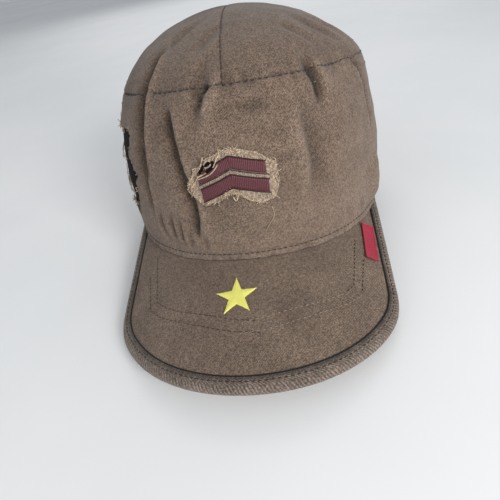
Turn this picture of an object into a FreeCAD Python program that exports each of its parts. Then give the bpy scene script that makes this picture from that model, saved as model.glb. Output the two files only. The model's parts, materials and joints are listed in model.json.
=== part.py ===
import FreeCAD, Part
import math
import os
import re

import Sketcher

# A cloth cap in the style of an army field cap, life size, in millimetres.
# The model is worked out in the cap's own frame: the hem of the crown lies in the plane z = 0,
# the visor points along -Y, +X is the wearer's left and +Z is up. At the end every sub-part gets
# the same placement, which stands the cap on a table on its visor and its rear hem.

SIZES = {
    # crown
    "half_width": 88.4,
    "oval_extra": 11.6,
    "wall": 1.2,
    "hem_drop": 8,
    "straight_height": 39,
    "shoulder_height": 56,
    "shoulder_half_width": 85.4,
    "shoulder_oval": 13,
    "crest_height": 71,
    "crest_half_width": 80.8,
    "crest_oval": 13.4,
    "seam_height": 86,
    "seam_half_width": 74.5,
    "seam_oval": 15,
    "seam_shift": 0,
    "seam_tilt": 3.9,
    "crown_rise": 37.5,
    "crown_sink": 20,
    "side_seam_angle": 110,
    "shoulder_fold": 3.6,
    "crest_fold": 3,
    "ply_gap": 0.05,
    # tear in the side, with the black cloth behind it
    "tear_turn": 67,
    "tear_width": 50,
    "tear_height": 54,
    "tear_middle": 45,
    "underlay_cloth": 0.8,
    "underlay_border": 3,
    # tapes over the seams, and the sweatband
    "tape_width": 8,
    "tape_cloth": 0.6,
    "band_cloth": 1.2,
    "band_gap": 0.3,
    "band_bottom": 0.5,
    "band_height": 31.5,
    # visor
    "visor_slope": 17.2,
    "visor_arch": 172,
    "visor_reach": 74.5,
    "visor_half_angle": 71,
    "corner_half_width": 79.5,
    "corner_radius": 43.6,
    "lip_radius": 87.3,
    "cover_cloth": 0.8,
    "board": 2,
    "flange_height": 8,
    "binding_cloth": 0.8,
    "binding_width": 4.6,
    "binding_front_extra": 1.6,
    "piping": 1,
    # star, patch and tag
    "star_x": -7,
    "star_ahead": 21.6,
    "star_radius": 11.8,
    "star_turn": 2,
    "embroidery": 0.7,
    "patch_x": -2.6,
    "patch_height": 50.4,
    "patch_half_width": 24,
    "patch_half_height": 15.4,
    "patch_cloth": 0.8,
    "chevron_half_width": 17.5,
    "chevron_rise": 7.5,
    "chevron_band": 6.4,
    "chevron_pitch": 8.6,
    "chevron_peak": 60.4,
    "chevron_cloth": 0.9,
    "tag_inset": 8.6,
    "tag_ahead": -22.5,
    "tag_width": 6.8,
    "tag_length": 26,
    "tag_turn": -5,
    "tag_cloth": 0.9,
    # opening at the back, and its size strap
    "opening_half_width": 35,
    "opening_height": 36,
    "edge_tape_cloth": 0.6,
    "edge_tape_width": 3,
    "strap_stand": 1.9,
    "strap_cloth": 1,
    "strap_bottom": 2,
    "strap_width": 20,
    "strap_tail": 62,
    "strap_sewn_end": 61,
    "strap_pad": 15,
    "tab_stand": 0.7,
    "tab_cloth": 0.8,
    "tab_width": 12,
    "tab_reach": 46,
    "tab_pad": 14,
    # clasp buckle
    "buckle_turn": 7.5,
    "buckle_seat": 0.6,
    "buckle_half_length": 8,
    "plate": 1,
    "ear_gap": 0.2,
    "ear_height": 5,
    "pivot_along": 4,
    "pivot_height": 3.4,
    "pin_radius": 1,
    "pin_slack": 0.05,
    "gate_boss": 1.5,
    "gate_gap": 0.3,
    "gate_reach": 13,
    "tooth": 1.4,
    "bar_back": 10.8,
    "bar_depth": 2.4,
    "bar_radius": 0.9,
    "bar_cheek": 0.5,
}

doc = FreeCAD.newDocument("field_cap")
sheet = doc.addObject("Spreadsheet::Sheet", "Sizes")
STAND = ("stand_tilt", "stand_across", "stand_along", "stand_lift")
for row, (alias, value) in enumerate(list(SIZES.items()) + [(name, 0) for name in STAND], start=1):
    sheet.set(f"A{row}", alias.replace("_", " "))
    sheet.set(f"B{row}", str(value))
    sheet.setAlias(f"B{row}", alias)
doc.recompute()

NAMES = re.compile(r"\b(" + "|".join(list(SIZES) + list(STAND)) + r")\b")

# Values that follow from the sizes, as formulas
HALF_LENGTH = "(half_width + oval_extra)"
END_X = "(half_width * sin(visor_half_angle))"
END_Y = f"(-{HALF_LENGTH} * cos(visor_half_angle))"
LIP_Y = f"(-{HALF_LENGTH} - visor_reach * cos(visor_slope))"
BOARD_TOP = "(cover_cloth + ply_gap)"
UNDER_TOP = "(cover_cloth + board + 2 * ply_gap)"
STACK = "(2 * cover_cloth + board + 2 * ply_gap)"
FLANGE = "(wall + ply_gap)"
BAND = f"({FLANGE} + cover_cloth + band_gap)"
FAR = 150

# Straight sides in each oval, and the heights of the dome's rings as shares of its rise
OVAL_SIDES = 48
DOME_LEVELS = (0, 0.2, 0.4, 0.58, 0.74, 0.87, 0.96)

# The crown's main folds, in degrees from the front towards the wearer's left: where each crosses
# the shoulder, and where it crosses the crest above it
SHOULDER_FOLDS = (-19, -34, 34, 64, 124, 139, 161, -161, -139, -116)
CREST_FOLDS = (-26, -41, 34, 64, 116, 139, 154, -161, -131, -116)


def tied(formula):
    """The formula with each size's name made a reference to its cell."""
    return NAMES.sub(r"Sizes.\1", str(formula))


def number(formula):
    """What the formula comes to now, to start a sketch close to its final shape."""
    value = sheet.evalExpression(tied(formula))
    return float(getattr(value, "Value", value))


def bind(thing, **formulas):
    """Tie properties to the sheet; __ in a name stands for a point."""
    for key, formula in formulas.items():
        thing.setExpression(key.replace("__", "."), tied(formula))
    return thing


def vector(x, y, z):
    return f"vector({x}; {y}; {z})"


def cut(name, base, tool):
    result = doc.addObject("Part::Cut", name)
    result.Base = base
    result.Tool = tool
    return result


def common(name, *shapes):
    result = doc.addObject("Part::MultiCommon", name)
    result.Shapes = list(shapes)
    return result


def fuse(name, *shapes):
    result = doc.addObject("Part::MultiFuse", name)
    result.Shapes = list(shapes)
    return result


def box(name, x, y, z):
    """A box between two formulas each way."""
    result = doc.addObject("Part::Box", name)
    bind(result, Length=f"({x[1]}) - ({x[0]})", Width=f"({y[1]}) - ({y[0]})", Height=f"({z[1]}) - ({z[0]})")
    return bind(result, Placement=f"placement({vector(x[0], y[0], z[0])}; rotation({vector(0, 0, 1)}; 0))")


# Crown surfaces

def oval(across, along, middle, tilt="0", folds=(), depth="0"):
    """Corners on an ellipse about a point of the cap's middle plane, its plane raised by tilt at the front.

    The corner nearest each fold's angle is pressed in by depth.
    """
    half_across, half_along, y, z, pressed = (number(size) for size in (across, along, *middle, depth))
    lean = FreeCAD.Rotation(FreeCAD.Vector(1, 0, 0), -number(tilt))
    step = 360 / OVAL_SIDES
    folded = {math.floor(angle / step) % OVAL_SIDES for angle in folds}
    corners = []
    for side in range(OVAL_SIDES):
        turn = math.radians(step * (side + 0.5))
        corner = FreeCAD.Vector(half_across * math.sin(turn), -half_along * math.cos(turn), 0)
        if side in folded:
            corner.Length = corner.Length - pressed
        corners.append(lean.multVec(corner) + FreeCAD.Vector(0, y, z))
    return corners


def stack(name, ovals):
    """A solid through ovals of equally many corners, with flat facets between each and the next."""
    faces = [Part.Face(Part.makePolygon(corners + corners[:1])) for corners in (ovals[0], ovals[-1])]
    for below, above in zip(ovals, ovals[1:]):
        for side in range(OVAL_SIDES):
            low, next_low = below[side], below[(side + 1) % OVAL_SIDES]
            high, next_high = above[side], above[(side + 1) % OVAL_SIDES]
            for corners in ([low, next_low, next_high], [low, next_high, high]):
                faces.append(Part.Face(Part.makePolygon(corners + corners[:1])))
    result = doc.addObject("Part::Feature", name)
    result.Shape = Part.makeSolid(Part.makeShell(faces)).removeSplitter()
    return result


skins = {}


def skin(inset):
    """The solid inside the crown's wall surface, drawn in by inset, up to the crown seam."""
    if inset in skins:
        return skins[inset]
    label = f"skin_{len(skins)}"
    levels = [("half_width", "oval_extra", "-hem_drop", (), "0"),
              ("half_width", "oval_extra", "straight_height", (), "0"),
              ("shoulder_half_width", "shoulder_oval", "shoulder_height", SHOULDER_FOLDS, "shoulder_fold"),
              ("crest_half_width", "crest_oval", "crest_height", CREST_FOLDS, "crest_fold")]
    ovals = []
    for half_width, extra, height, folds, depth in levels:
        ovals.append(oval(f"{half_width} - ({inset})", f"{half_width} + {extra} - ({inset})", ("0", height),
                          folds=folds, depth=depth))
    ovals.append(oval(f"seam_half_width - ({inset})", f"seam_half_width + seam_oval - ({inset})",
                      ("seam_shift", "seam_height"), "seam_tilt"))
    skins[inset] = stack(label, ovals)
    return skins[inset]


def shell(name, outer, inner):
    """The layer between two crown surfaces."""
    return cut(name, skin(outer), skin(inner))


def dome(name, inset):
    """The low dome of the crown's top, drawn in by inset, as rings of an ellipsoid over the crown seam."""
    radius = "(crown_sink + crown_rise)"
    ovals = []
    for share in DOME_LEVELS:
        climbed = f"((crown_sink + {share} * crown_rise) / {radius})"
        scale = f"sqrt((1 - {climbed} ^ 2) / (1 - (crown_sink / {radius}) ^ 2))"
        rise = f"{share} * (crown_rise - ({inset}))"
        middle = (f"seam_shift + {rise} * sin(seam_tilt)", f"seam_height + {rise} * cos(seam_tilt)")
        ovals.append(oval(f"(seam_half_width - ({inset})) * {scale}",
                          f"(seam_half_width + seam_oval - ({inset})) * {scale}", middle, "seam_tilt"))
    return stack(name, ovals)


def seam_block(name, x, z):
    """A block on the crown seam's plane, between two distances across and two up its normal."""
    result = doc.addObject("Part::Box", name)
    bind(result, Length=f"({x[1]}) - ({x[0]})", Width=f"2 * {FAR}", Height=f"({z[1]}) - ({z[0]})")
    corner = vector(x[0], f"seam_shift - {FAR} * cos(seam_tilt) + ({z[0]}) * sin(seam_tilt)",
                    f"seam_height + {FAR} * sin(seam_tilt) + ({z[0]}) * cos(seam_tilt)")
    return bind(result, Placement=f"placement({corner}; rotation(vector(1; 0; 0); -seam_tilt))")


def sector(name, start, sweep):
    """A pie slice about the crown's centre line, for one panel."""
    result = doc.addObject("Part::Cylinder", name)
    bind(result, Radius=FAR, Height=FAR, Angle=sweep)
    foot = vector(0, 0, "-hem_drop")
    return bind(result, Placement=f"placement({foot}; rotation(vector(0; 0; 1); {start}))")


# Outlines

def polygon(sketch, corners):
    """A closed outline added to a sketch, each corner held at its two formulas."""
    first = sketch.GeometryCount
    points = [FreeCAD.Vector(number(x), number(y), 0) for x, y in corners]
    for index, point in enumerate(points):
        sketch.addGeometry(Part.LineSegment(point, points[(index + 1) % len(points)]), False)
    for index, (x, y) in enumerate(corners):
        before = first + (index - 1) % len(corners)
        sketch.addConstraint(Sketcher.Constraint("Coincident", before, 2, first + index, 1))
        for kind, formula, value in (("DistanceX", x, points[index].x), ("DistanceY", y, points[index].y)):
            place = sketch.addConstraint(Sketcher.Constraint(kind, -1, 1, first + index, 1, value))
            sketch.setExpression(f"Constraints[{place}]", tied(formula))


def free_sketch(name, upright=False, side=False):
    """A sketch in the hem plane, or upright across the cap, or upright along it."""
    sketch = doc.addObject("Sketcher::SketchObject", name)
    if upright:
        sketch.Placement = FreeCAD.Placement(FreeCAD.Vector(), FreeCAD.Rotation(FreeCAD.Vector(1, 0, 0), 90))
    if side:
        sketch.Placement = FreeCAD.Placement(FreeCAD.Vector(), FreeCAD.Rotation(90, 0, 90))
    return sketch


def prism(name, profile, direction, forward, backward="0"):
    result = doc.addObject("Part::Extrusion", name)
    result.Base = profile
    result.DirMode = "Custom"
    result.Dir = FreeCAD.Vector(*direction)
    result.Solid = True
    return bind(result, LengthFwd=forward, LengthRev=backward)


def oval_prism(name, inset):
    """The upright prism on the hem's oval, drawn in by inset."""
    size = (f"half_width - ({inset})", f"{HALF_LENGTH} - ({inset})")
    return stack(name, [oval(*size, ("0", level)) for level in (-FAR, FAR)])


def ring(name, outer, inner):
    """The upright layer between two insets, for what lies on the straight part of the wall."""
    return cut(name, oval_prism(f"{name}_outside", outer), oval_prism(f"{name}_inside", inner))


def visor_blank(name, inset, front_extra="0"):
    """The upright prism on the visor's outline, drawn in by inset and a little more at the lip."""
    sketch = free_sketch(f"{name}_outline")
    lip_centre = f"{LIP_Y} + lip_radius + ({front_extra})"
    lip_radius = f"lip_radius - ({inset})"
    corner_radius = f"corner_radius - ({inset})"
    corner_x = "(corner_half_width - corner_radius)"
    end_x = f"{END_X} - ({inset})"
    lip = FreeCAD.Vector(0, number(lip_centre), 0)
    span = number("lip_radius - corner_radius")
    bend = FreeCAD.Vector(number(corner_x), lip.y - math.sqrt(span ** 2 - number(corner_x) ** 2), 0)
    end = FreeCAD.Vector(number(end_x), number(END_Y), 0)
    radius = number(corner_radius)
    away = end - bend
    start = math.atan2(away.y, away.x) - math.acos(radius / away.Length)
    stop = math.atan2(bend.y - lip.y, bend.x)

    def arc(centre, size, first, last):
        return Part.ArcOfCircle(Part.Circle(centre, FreeCAD.Vector(0, 0, 1), size), first, last)

    touch = bend + FreeCAD.Vector(radius * math.cos(start), radius * math.sin(start), 0)
    mirrored = [FreeCAD.Vector(-point.x, point.y, 0) for point in (end, touch, bend)]
    back = sketch.addGeometry(Part.LineSegment(mirrored[0], end), False)
    left = sketch.addGeometry(Part.LineSegment(end, touch), False)
    left_bend = sketch.addGeometry(arc(bend, radius, stop, start), False)
    front = sketch.addGeometry(arc(lip, number(lip_radius), -math.pi - stop, stop), False)
    right_bend = sketch.addGeometry(arc(mirrored[2], radius, math.pi - start, math.pi - stop), False)
    right = sketch.addGeometry(Part.LineSegment(mirrored[1], mirrored[0]), False)
    joins = [("Coincident", back, 2, left, 1), ("Coincident", back, 1, right, 2),
             ("Tangent", left, 2, left_bend, 2), ("Tangent", left_bend, 1, front, 2),
             ("Tangent", front, 1, right_bend, 2), ("Tangent", right_bend, 1, right, 1),
             ("Symmetric", back, 1, back, 2, -2)]
    for join in joins:
        sketch.addConstraint(Sketcher.Constraint(*join))
    held = [("DistanceX", (-1, 1, back, 2), end_x), ("DistanceY", (-1, 1, back, 2), END_Y),
            ("DistanceX", (-1, 1, left_bend, 3), corner_x), ("DistanceX", (right_bend, 3, -1, 1), corner_x),
            ("DistanceY", (-1, 1, front, 3), lip_centre), ("Radius", (left_bend,), corner_radius),
            ("Radius", (right_bend,), corner_radius), ("Radius", (front,), lip_radius)]
    for kind, places, formula in held:
        place = sketch.addConstraint(Sketcher.Constraint(kind, *places, number(formula)))
        sketch.setExpression(f"Constraints[{place}]", tied(formula))
    sketch.addConstraint(Sketcher.Constraint("PointOnObject", front, 3, -2))
    return prism(name, sketch, (0, 0, 1), FAR, FAR)


arches = {}


def arch(height):
    """The long cylinder whose top is the visor's surface, raised by height."""
    if height in arches:
        return arches[height]
    result = doc.addObject("Part::Cylinder", f"arch_{len(arches)}")
    bind(result, Radius=f"visor_arch + ({height})", Height=f"2 * {FAR} + visor_reach")
    centre = vector("0", f"-{HALF_LENGTH} + visor_arch * sin(visor_slope) + {FAR} * cos(visor_slope)",
                    f"-visor_arch * cos(visor_slope) + {FAR} * sin(visor_slope)")
    bind(result, Placement=f"placement({centre}; rotation(vector(1; 0; 0); 90 + visor_slope))")
    arches[height] = result
    return result


def on_visor(name, outline, bottom, top):
    """The part of an upright outline that lies between two heights over the visor's surface."""
    return cut(name, common(f"{name}_under", outline, arch(top)), arch(bottom))


# Crown

front_region = sector("front_region", "-90 - side_seam_angle", "2 * side_seam_angle")
left_region = sector("left_region", "side_seam_angle - 90", "180 - side_seam_angle")
right_region = sector("right_region", "90", "180 - side_seam_angle")
below_hem = box("below_hem", (-FAR, FAR), (END_Y, FAR), (-FAR, 0))
over_visor = box("over_visor", (-FAR, FAR), (f"-2 * {FAR}", END_Y), (-FAR, FAR))
visor_room = common("visor_room", over_visor, arch("ply_gap"))
hem_room = fuse("hem_room", below_hem, visor_room)


def opening_blank(name, grow):
    """The round-topped prism of the opening at the back, widened by grow."""
    sketch = free_sketch(f"{name}_outline", upright=True)
    radius = f"(opening_half_width + ({grow}))"
    spring = "opening_height - opening_half_width"
    wide = number(radius)
    level = number(spring)
    low = number(f"-{radius}")
    circle = Part.Circle(FreeCAD.Vector(0, level, 0), FreeCAD.Vector(0, 0, 1), wide)
    corners = [FreeCAD.Vector(x, y, 0) for x, y in ((-wide, level), (-wide, low), (wide, low), (wide, level))]
    for start, end in zip(corners, corners[1:]):
        sketch.addGeometry(Part.LineSegment(start, end), False)
    top = sketch.addGeometry(Part.ArcOfCircle(circle, 0, math.pi), False)
    for join in [("Coincident", 0, 2, 1, 1), ("Coincident", 1, 2, 2, 1), ("Tangent", 2, 2, top, 1),
                 ("Tangent", top, 2, 0, 1), ("Horizontal", 1), ("Vertical", 0), ("Vertical", 2),
                 ("PointOnObject", top, 3, -2)]:
        sketch.addConstraint(Sketcher.Constraint(*join))
    for kind, places, formula in [("Radius", (top,), radius), ("DistanceY", (-1, 1, top, 3), spring),
                                  ("DistanceY", (-1, 1, 1, 1), f"-{radius}")]:
        place = sketch.addConstraint(Sketcher.Constraint(kind, *places, number(formula)))
        sketch.setExpression(f"Constraints[{place}]", tied(formula))
    return prism(name, sketch, (0, 1, 0), FAR)


# A tear's edge, as shares of its half width and half height from its middle
TEAR = [(-0.72, -0.92), (-0.28, -0.80), (0.34, -1.0), (0.80, -0.62), (0.70, -0.16), (1.0, 0.24), (0.76, 0.78),
        (0.22, 1.0), (-0.40, 0.86), (-0.90, 0.56), (-0.78, 0.02), (-1.0, -0.36)]
tear_outline = free_sketch("tear_outline", side=True)
polygon(tear_outline, [(f"-{HALF_LENGTH} * cos(tear_turn) + {along} * tear_width / 2",
                        f"tear_middle + {up} * tear_height / 2") for along, up in TEAR])
tear = prism("tear", tear_outline, (-1, 0, 0), FAR)
opening = opening_blank("opening", "0")
crown_wall = shell("crown_wall", "0", "wall")


def crown_panel(name, region, gap):
    """One panel of the crown's wall, from the hem to the crown seam."""
    whole = common(f"{name}_whole", crown_wall, region)
    return cut(name, cut(f"{name}_hemmed", whole, hem_room), gap)


parts = {}
parts["front_panel"] = crown_panel("front_panel", front_region, tear)
parts["back_panel_left"] = crown_panel("back_panel_left", left_region, opening)
parts["back_panel_right"] = crown_panel("back_panel_right", right_region, opening)

dome_shell = cut("dome_shell", dome("dome_outside", "0"), dome("dome_inside", "wall"))
for side, width in (("left", ("0", FAR)), ("right", (-FAR, "0"))):
    half = seam_block(f"top_{side}", width, ("-ply_gap", FAR))
    parts[f"top_panel_{side}"] = common(f"top_panel_{side}", dome_shell, half)

tape_layer = shell("tape_layer", "wall + ply_gap", "wall + ply_gap + tape_cloth")
below_seam = seam_block("below_seam", (-FAR, FAR), ("-tape_width", "-ply_gap"))
parts["crown_seam_tape"] = common("crown_seam_tape", tape_layer, below_seam)
dome_tape = cut("dome_tape", dome("tape_outside", "wall + ply_gap"),
                dome("tape_inside", "wall + ply_gap + tape_cloth"))
along_centre = seam_block("along_centre", ("-tape_width / 2", "tape_width / 2"), ("ply_gap", FAR))
parts["centre_seam_tape"] = common("centre_seam_tape", dome_tape, along_centre)

underlay_layer = shell("underlay_layer", "wall + ply_gap", "wall + ply_gap + underlay_cloth")
behind_tear = box("behind_tear", (-FAR, "0"),
                  (f"-{HALF_LENGTH} * cos(tear_turn) - tear_width / 2 - underlay_border",
                   f"-{HALF_LENGTH} * cos(tear_turn) + tear_width / 2 + underlay_border"),
                  ("tear_middle - tear_height / 2 - underlay_border",
                   "tear_middle + tear_height / 2 + underlay_border"))
parts["torn_underlay"] = common("torn_underlay", underlay_layer, behind_tear)

band_ring = ring("band_ring", BAND, f"{BAND} + band_cloth")
band_level = box("band_level", (-FAR, FAR), (-FAR, FAR), ("band_bottom", "band_bottom + band_height"))
band_gap_behind = opening_blank("band_end", "edge_tape_width + ply_gap")
parts["sweatband"] = cut("sweatband", common("band_loop", band_ring, band_level), band_gap_behind)

# Visor

LAYER_INSET = "binding_cloth + ply_gap"
layer_outline = visor_blank("layer_outline", LAYER_INSET)
rim_outline = visor_blank("rim_outline", "0")
field_outline = visor_blank("field_outline", "binding_width", "binding_front_extra")
cord_outline = visor_blank("cord_outline", "binding_width + ply_gap", "binding_front_extra")
plain_outline = visor_blank("plain_outline", "binding_width + ply_gap + piping", "binding_front_extra")
visor_root = oval_prism("visor_root", "wall")
crown_room = oval_prism("crown_room", "-ply_gap")

top_ply = on_visor("top_ply", layer_outline, "-cover_cloth", "0")
board_ply = on_visor("board_ply", layer_outline, f"-{BOARD_TOP} - board", f"-{BOARD_TOP}")
parts["visor_top_cover"] = cut("visor_top_cover", top_ply, visor_root)
parts["visor_board"] = cut("visor_board", board_ply, visor_root)

flange_outside = oval_prism("flange_outside", FLANGE)
flange_inside = oval_prism("flange_inside", f"{FLANGE} + cover_cloth")
flange_level = box("flange_level", (-FAR, FAR), (-FAR, END_Y), (-FAR, "flange_height"))
flange = cut("flange", common("flange_ring", cut("flange_wall", flange_outside, flange_inside), flange_level),
             arch(f"-{STACK}"))
under_ply = on_visor("under_ply", layer_outline, f"-{STACK}", f"-{UNDER_TOP}")
parts["visor_under_cover"] = fuse("visor_under_cover", cut("under_plate", under_ply, flange_inside), flange)

BINDING_UNDER = f"-{STACK} - ply_gap"
core_outline = visor_blank("core_outline", "binding_cloth")
binding_solid = on_visor("binding_solid", rim_outline, f"{BINDING_UNDER} - binding_cloth",
                         "ply_gap + binding_cloth")
binding_core = on_visor("binding_core", core_outline, BINDING_UNDER, "ply_gap")
binding_channel = cut("binding_channel", cut("binding_rim", binding_solid, field_outline), binding_core)
parts["visor_binding"] = cut("visor_binding", binding_channel, crown_room)

cord_ring = cut("cord_ring", cord_outline, plain_outline)
piping_bead = on_visor("piping_bead", cord_ring, "ply_gap", "ply_gap + piping")
parts["visor_piping"] = cut("visor_piping", piping_bead, crown_room)

# Star, patch and tag

STAR_INNER = math.sin(math.radians(18)) / math.cos(math.radians(36))
STAR_Y = f"(-{HALF_LENGTH} - star_ahead)"
star_corners = []
for point in range(10):
    reach = f"{1 if point % 2 == 0 else STAR_INNER} * star_radius"
    angle = f"{90 + 36 * point} + star_turn"
    star_corners.append((f"star_x + {reach} * cos({angle})", f"{STAR_Y} + {reach} * sin({angle})"))
star_outline = free_sketch("star_outline")
polygon(star_outline, star_corners)
star_blank = prism("star_blank", star_outline, (0, 0, 1), FAR, FAR)
parts["star_embroidery"] = on_visor("star_embroidery", star_blank, "ply_gap", "ply_gap + embroidery")

TAG_Y = f"(-{HALF_LENGTH} - tag_ahead)"
tag_corners = []
for side, end in ((-1, -1), (1, -1), (1, 1), (-1, 1)):
    across, up = f"{side} * tag_width / 2", f"{end} * tag_length / 2"
    tag_corners.append((f"corner_half_width - tag_inset + {across} * cos(tag_turn) - {up} * sin(tag_turn)",
                        f"{TAG_Y} + {across} * sin(tag_turn) + {up} * cos(tag_turn)"))
tag_outline = free_sketch("tag_outline")
polygon(tag_outline, tag_corners)
tag_blank = prism("tag_blank", tag_outline, (0, 0, 1), FAR, FAR)
tag_ply = on_visor("tag_ply", tag_blank, "ply_gap", "ply_gap + tag_cloth")
parts["side_tag"] = cut("side_tag", tag_ply, crown_room)

# The patch's edge, as shares of its half width and half height from its middle
PATCH = [(-0.96, -0.12), (-0.50, 0.62), (0.05, 1.0), (0.56, 0.62), (1.0, 0.22), (0.92, -0.78), (0.60, -1.0),
         (-0.02, -0.52), (-0.68, -0.88)]
patch_outline = free_sketch("patch_outline", upright=True)
polygon(patch_outline, [(f"patch_x + {across} * patch_half_width", f"patch_height + {up} * patch_half_height")
                        for across, up in PATCH])
PATCH_TOP = "(ply_gap + patch_cloth)"
CHEVRON_TOP = f"({PATCH_TOP} + ply_gap + chevron_cloth)"
parts["patch_ground"] = common("patch_ground", shell("patch_layer", f"-{PATCH_TOP}", "-ply_gap"),
                               prism("patch_blank", patch_outline, (0, -1, 0), FAR))
chevron_layer = shell("chevron_layer", f"-{CHEVRON_TOP}", f"-{PATCH_TOP} - ply_gap")


def chevron(name, order):
    """An embroidered bar bent to a peak, order places under the top one."""
    peak = f"chevron_peak - {order} * chevron_pitch"
    side = "chevron_half_width"
    outline = free_sketch(f"{name}_outline", upright=True)
    polygon(outline, [(f"patch_x - {side}", f"{peak} - chevron_rise"), ("patch_x", peak),
                      (f"patch_x + {side}", f"{peak} - chevron_rise"),
                      (f"patch_x + {side}", f"{peak} - chevron_rise - chevron_band"),
                      ("patch_x", f"{peak} - chevron_band"),
                      (f"patch_x - {side}", f"{peak} - chevron_rise - chevron_band")])
    return common(name, chevron_layer, prism(f"{name}_blank", outline, (0, -1, 0), FAR))


parts["chevron_upper"] = chevron("chevron_upper", 0)
parts["chevron_lower"] = chevron("chevron_lower", 1)

# Opening at the back, with its bound edge and size strap

EDGE_OUT = "(ply_gap + edge_tape_cloth)"
edge_layer = ring("edge_layer", f"-{EDGE_OUT}", f"wall + {EDGE_OUT}")
edge_ring = cut("edge_ring", opening_blank("edge_outer", "edge_tape_width"),
                opening_blank("edge_inner", f"-{EDGE_OUT}"))
edge_solid = common("edge_solid", edge_layer, edge_ring)
edge_wall = ring("edge_wall", "-ply_gap", "wall + ply_gap")
edge_room = cut("edge_room", edge_wall, opening_blank("edge_web", "-ply_gap"))
parts["opening_binding"] = cut("opening_binding", cut("edge_channel", edge_solid, edge_room), below_hem)

STRAP_LEVEL = ("strap_bottom", "strap_bottom + strap_width")
strap_loop = common("strap_loop", ring("strap_layer", "-strap_stand - strap_cloth", "-strap_stand"),
                    box("strap_span", ("-strap_tail", "strap_sewn_end - strap_pad"), (0, FAR), STRAP_LEVEL))
sewn_span = ("strap_sewn_end - strap_pad", "strap_sewn_end")
strap_fold = common("strap_fold", ring("strap_fold_layer", "-strap_stand - strap_cloth", "-ply_gap"),
                    box("strap_fold_span", sewn_span, (0, FAR), STRAP_LEVEL))
parts["size_strap"] = fuse("size_strap", strap_loop, strap_fold)

# The buckle's own frame: x along the strap, y outwards, z up, on the strap at its middle
BUCKLE_OUT = "(strap_stand - buckle_seat)"
BUCKLE_LEAN = (f"atan(({HALF_LENGTH} + {BUCKLE_OUT}) / (half_width + {BUCKLE_OUT}) * tan(buckle_turn))")
BUCKLE_X = f"(-(half_width + {BUCKLE_OUT}) * sin(buckle_turn))"
BUCKLE_Y = f"(({HALF_LENGTH} + {BUCKLE_OUT}) * cos(buckle_turn))"


def at_buckle(along, out, up):
    """The placement of a point of the buckle's frame, turned as the buckle is."""
    place = vector(f"{BUCKLE_X} + ({along}) * cos({BUCKLE_LEAN}) - ({out}) * sin({BUCKLE_LEAN})",
                   f"{BUCKLE_Y} + ({along}) * sin({BUCKLE_LEAN}) + ({out}) * cos({BUCKLE_LEAN})", up)
    return f"placement({place}; rotation(vector(0; 0; 1); {BUCKLE_LEAN}))"


def buckle_box(name, x, y, z):
    result = doc.addObject("Part::Box", name)
    bind(result, Length=f"({x[1]}) - ({x[0]})", Width=f"({y[1]}) - ({y[0]})", Height=f"({z[1]}) - ({z[0]})")
    return bind(result, Placement=at_buckle(x[0], y[0], z[0]))


TAB_LEVEL = ("strap_bottom + (strap_width - tab_width) / 2", "strap_bottom + (strap_width + tab_width) / 2")
tab_sheet = common("tab_sheet", ring("tab_layer", "-tab_stand - tab_cloth", "-tab_stand"),
                   buckle_box("tab_span", ("tab_pad - tab_reach", "-bar_back"), (-FAR, FAR / 2), TAB_LEVEL))
tab_sewn_span = ("-tab_reach", "tab_pad - tab_reach")
tab_fold = common("tab_fold", ring("tab_fold_layer", "-tab_stand - tab_cloth", "-ply_gap"),
                  buckle_box("tab_fold_span", tab_sewn_span, (-FAR, FAR / 2), TAB_LEVEL))
tab_loops = []
LOOP_INSIDE = "bar_radius + ply_gap"
for label, radius in (("tab_loop_outside", f"{LOOP_INSIDE} + tab_cloth"), ("tab_loop_inside", LOOP_INSIDE)):
    loop = doc.addObject("Part::Cylinder", label)
    at_bar = at_buckle("-bar_back", "-bar_depth", TAB_LEVEL[0])
    bind(loop, Radius=radius, Height="tab_width", Placement=at_bar)
    tab_loops.append(loop)
tab_solid = fuse("tab_solid", tab_sheet, tab_fold, tab_loops[0])
parts["strap_anchor_tab"] = cut("strap_anchor_tab", tab_solid, tab_loops[1])


def body_sketch(body, name, height="0"):
    """A sketch across the buckle's z axis, at a height."""
    sketch = body.newObject("Sketcher::SketchObject", name)
    plane = next(feature for feature in body.Origin.OriginFeatures if feature.Role == "XY_Plane")
    sketch.AttachmentSupport = (plane, [""])
    sketch.MapMode = "FlatFace"
    sketch.setExpression("AttachmentOffset.Base.z", tied(height))
    return sketch


def circle(sketch, x, y, radius):
    """A full circle, held at its centre and radius."""
    shape = Part.Circle(FreeCAD.Vector(number(x), number(y), 0), FreeCAD.Vector(0, 0, 1), number(radius))
    ring = sketch.addGeometry(shape, False)
    for kind, places, formula in (("DistanceX", (-1, 1, ring, 3), x), ("DistanceY", (-1, 1, ring, 3), y),
                                  ("Radius", (ring,), radius)):
        place = sketch.addConstraint(Sketcher.Constraint(kind, *places, number(formula)))
        sketch.setExpression(f"Constraints[{place}]", tied(formula))


def padded(body, sketch, length):
    pad = body.newObject("PartDesign::Pad", f"{sketch.Name}_pad")
    pad.Profile = sketch
    bind(pad, Length=length)
    return pad


EAR_OUTSIDE = "(strap_bottom - ear_gap - plate)"
EAR_INSIDE = "(strap_bottom - ear_gap)"
FRAME_HEIGHT = "(strap_width + 2 * ear_gap + 2 * plate)"
BAR_END = "(-bar_back - bar_radius - bar_cheek)"
BAR_UNDER = "(-bar_depth - bar_radius - bar_cheek)"
frame = doc.addObject("PartDesign::Body", "buckle_frame")
ears = body_sketch(frame, "ear_outline", EAR_OUTSIDE)
polygon(ears, [("buckle_half_length", "-plate"), ("buckle_half_length", "ear_height - gate_boss"),
               ("buckle_half_length - gate_boss", "ear_height"),
               ("pivot_along - 2 * gate_boss", "ear_height"),
               ("-buckle_half_length", "plate"), (BAR_END, "-plate"),
               (BAR_END, BAR_UNDER), ("-bar_back + bar_radius", BAR_UNDER),
               ("-buckle_half_length", "-plate")])
padded(frame, ears, FRAME_HEIGHT)
clearing = body_sketch(frame, "clearing_outline", EAR_INSIDE)
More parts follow.
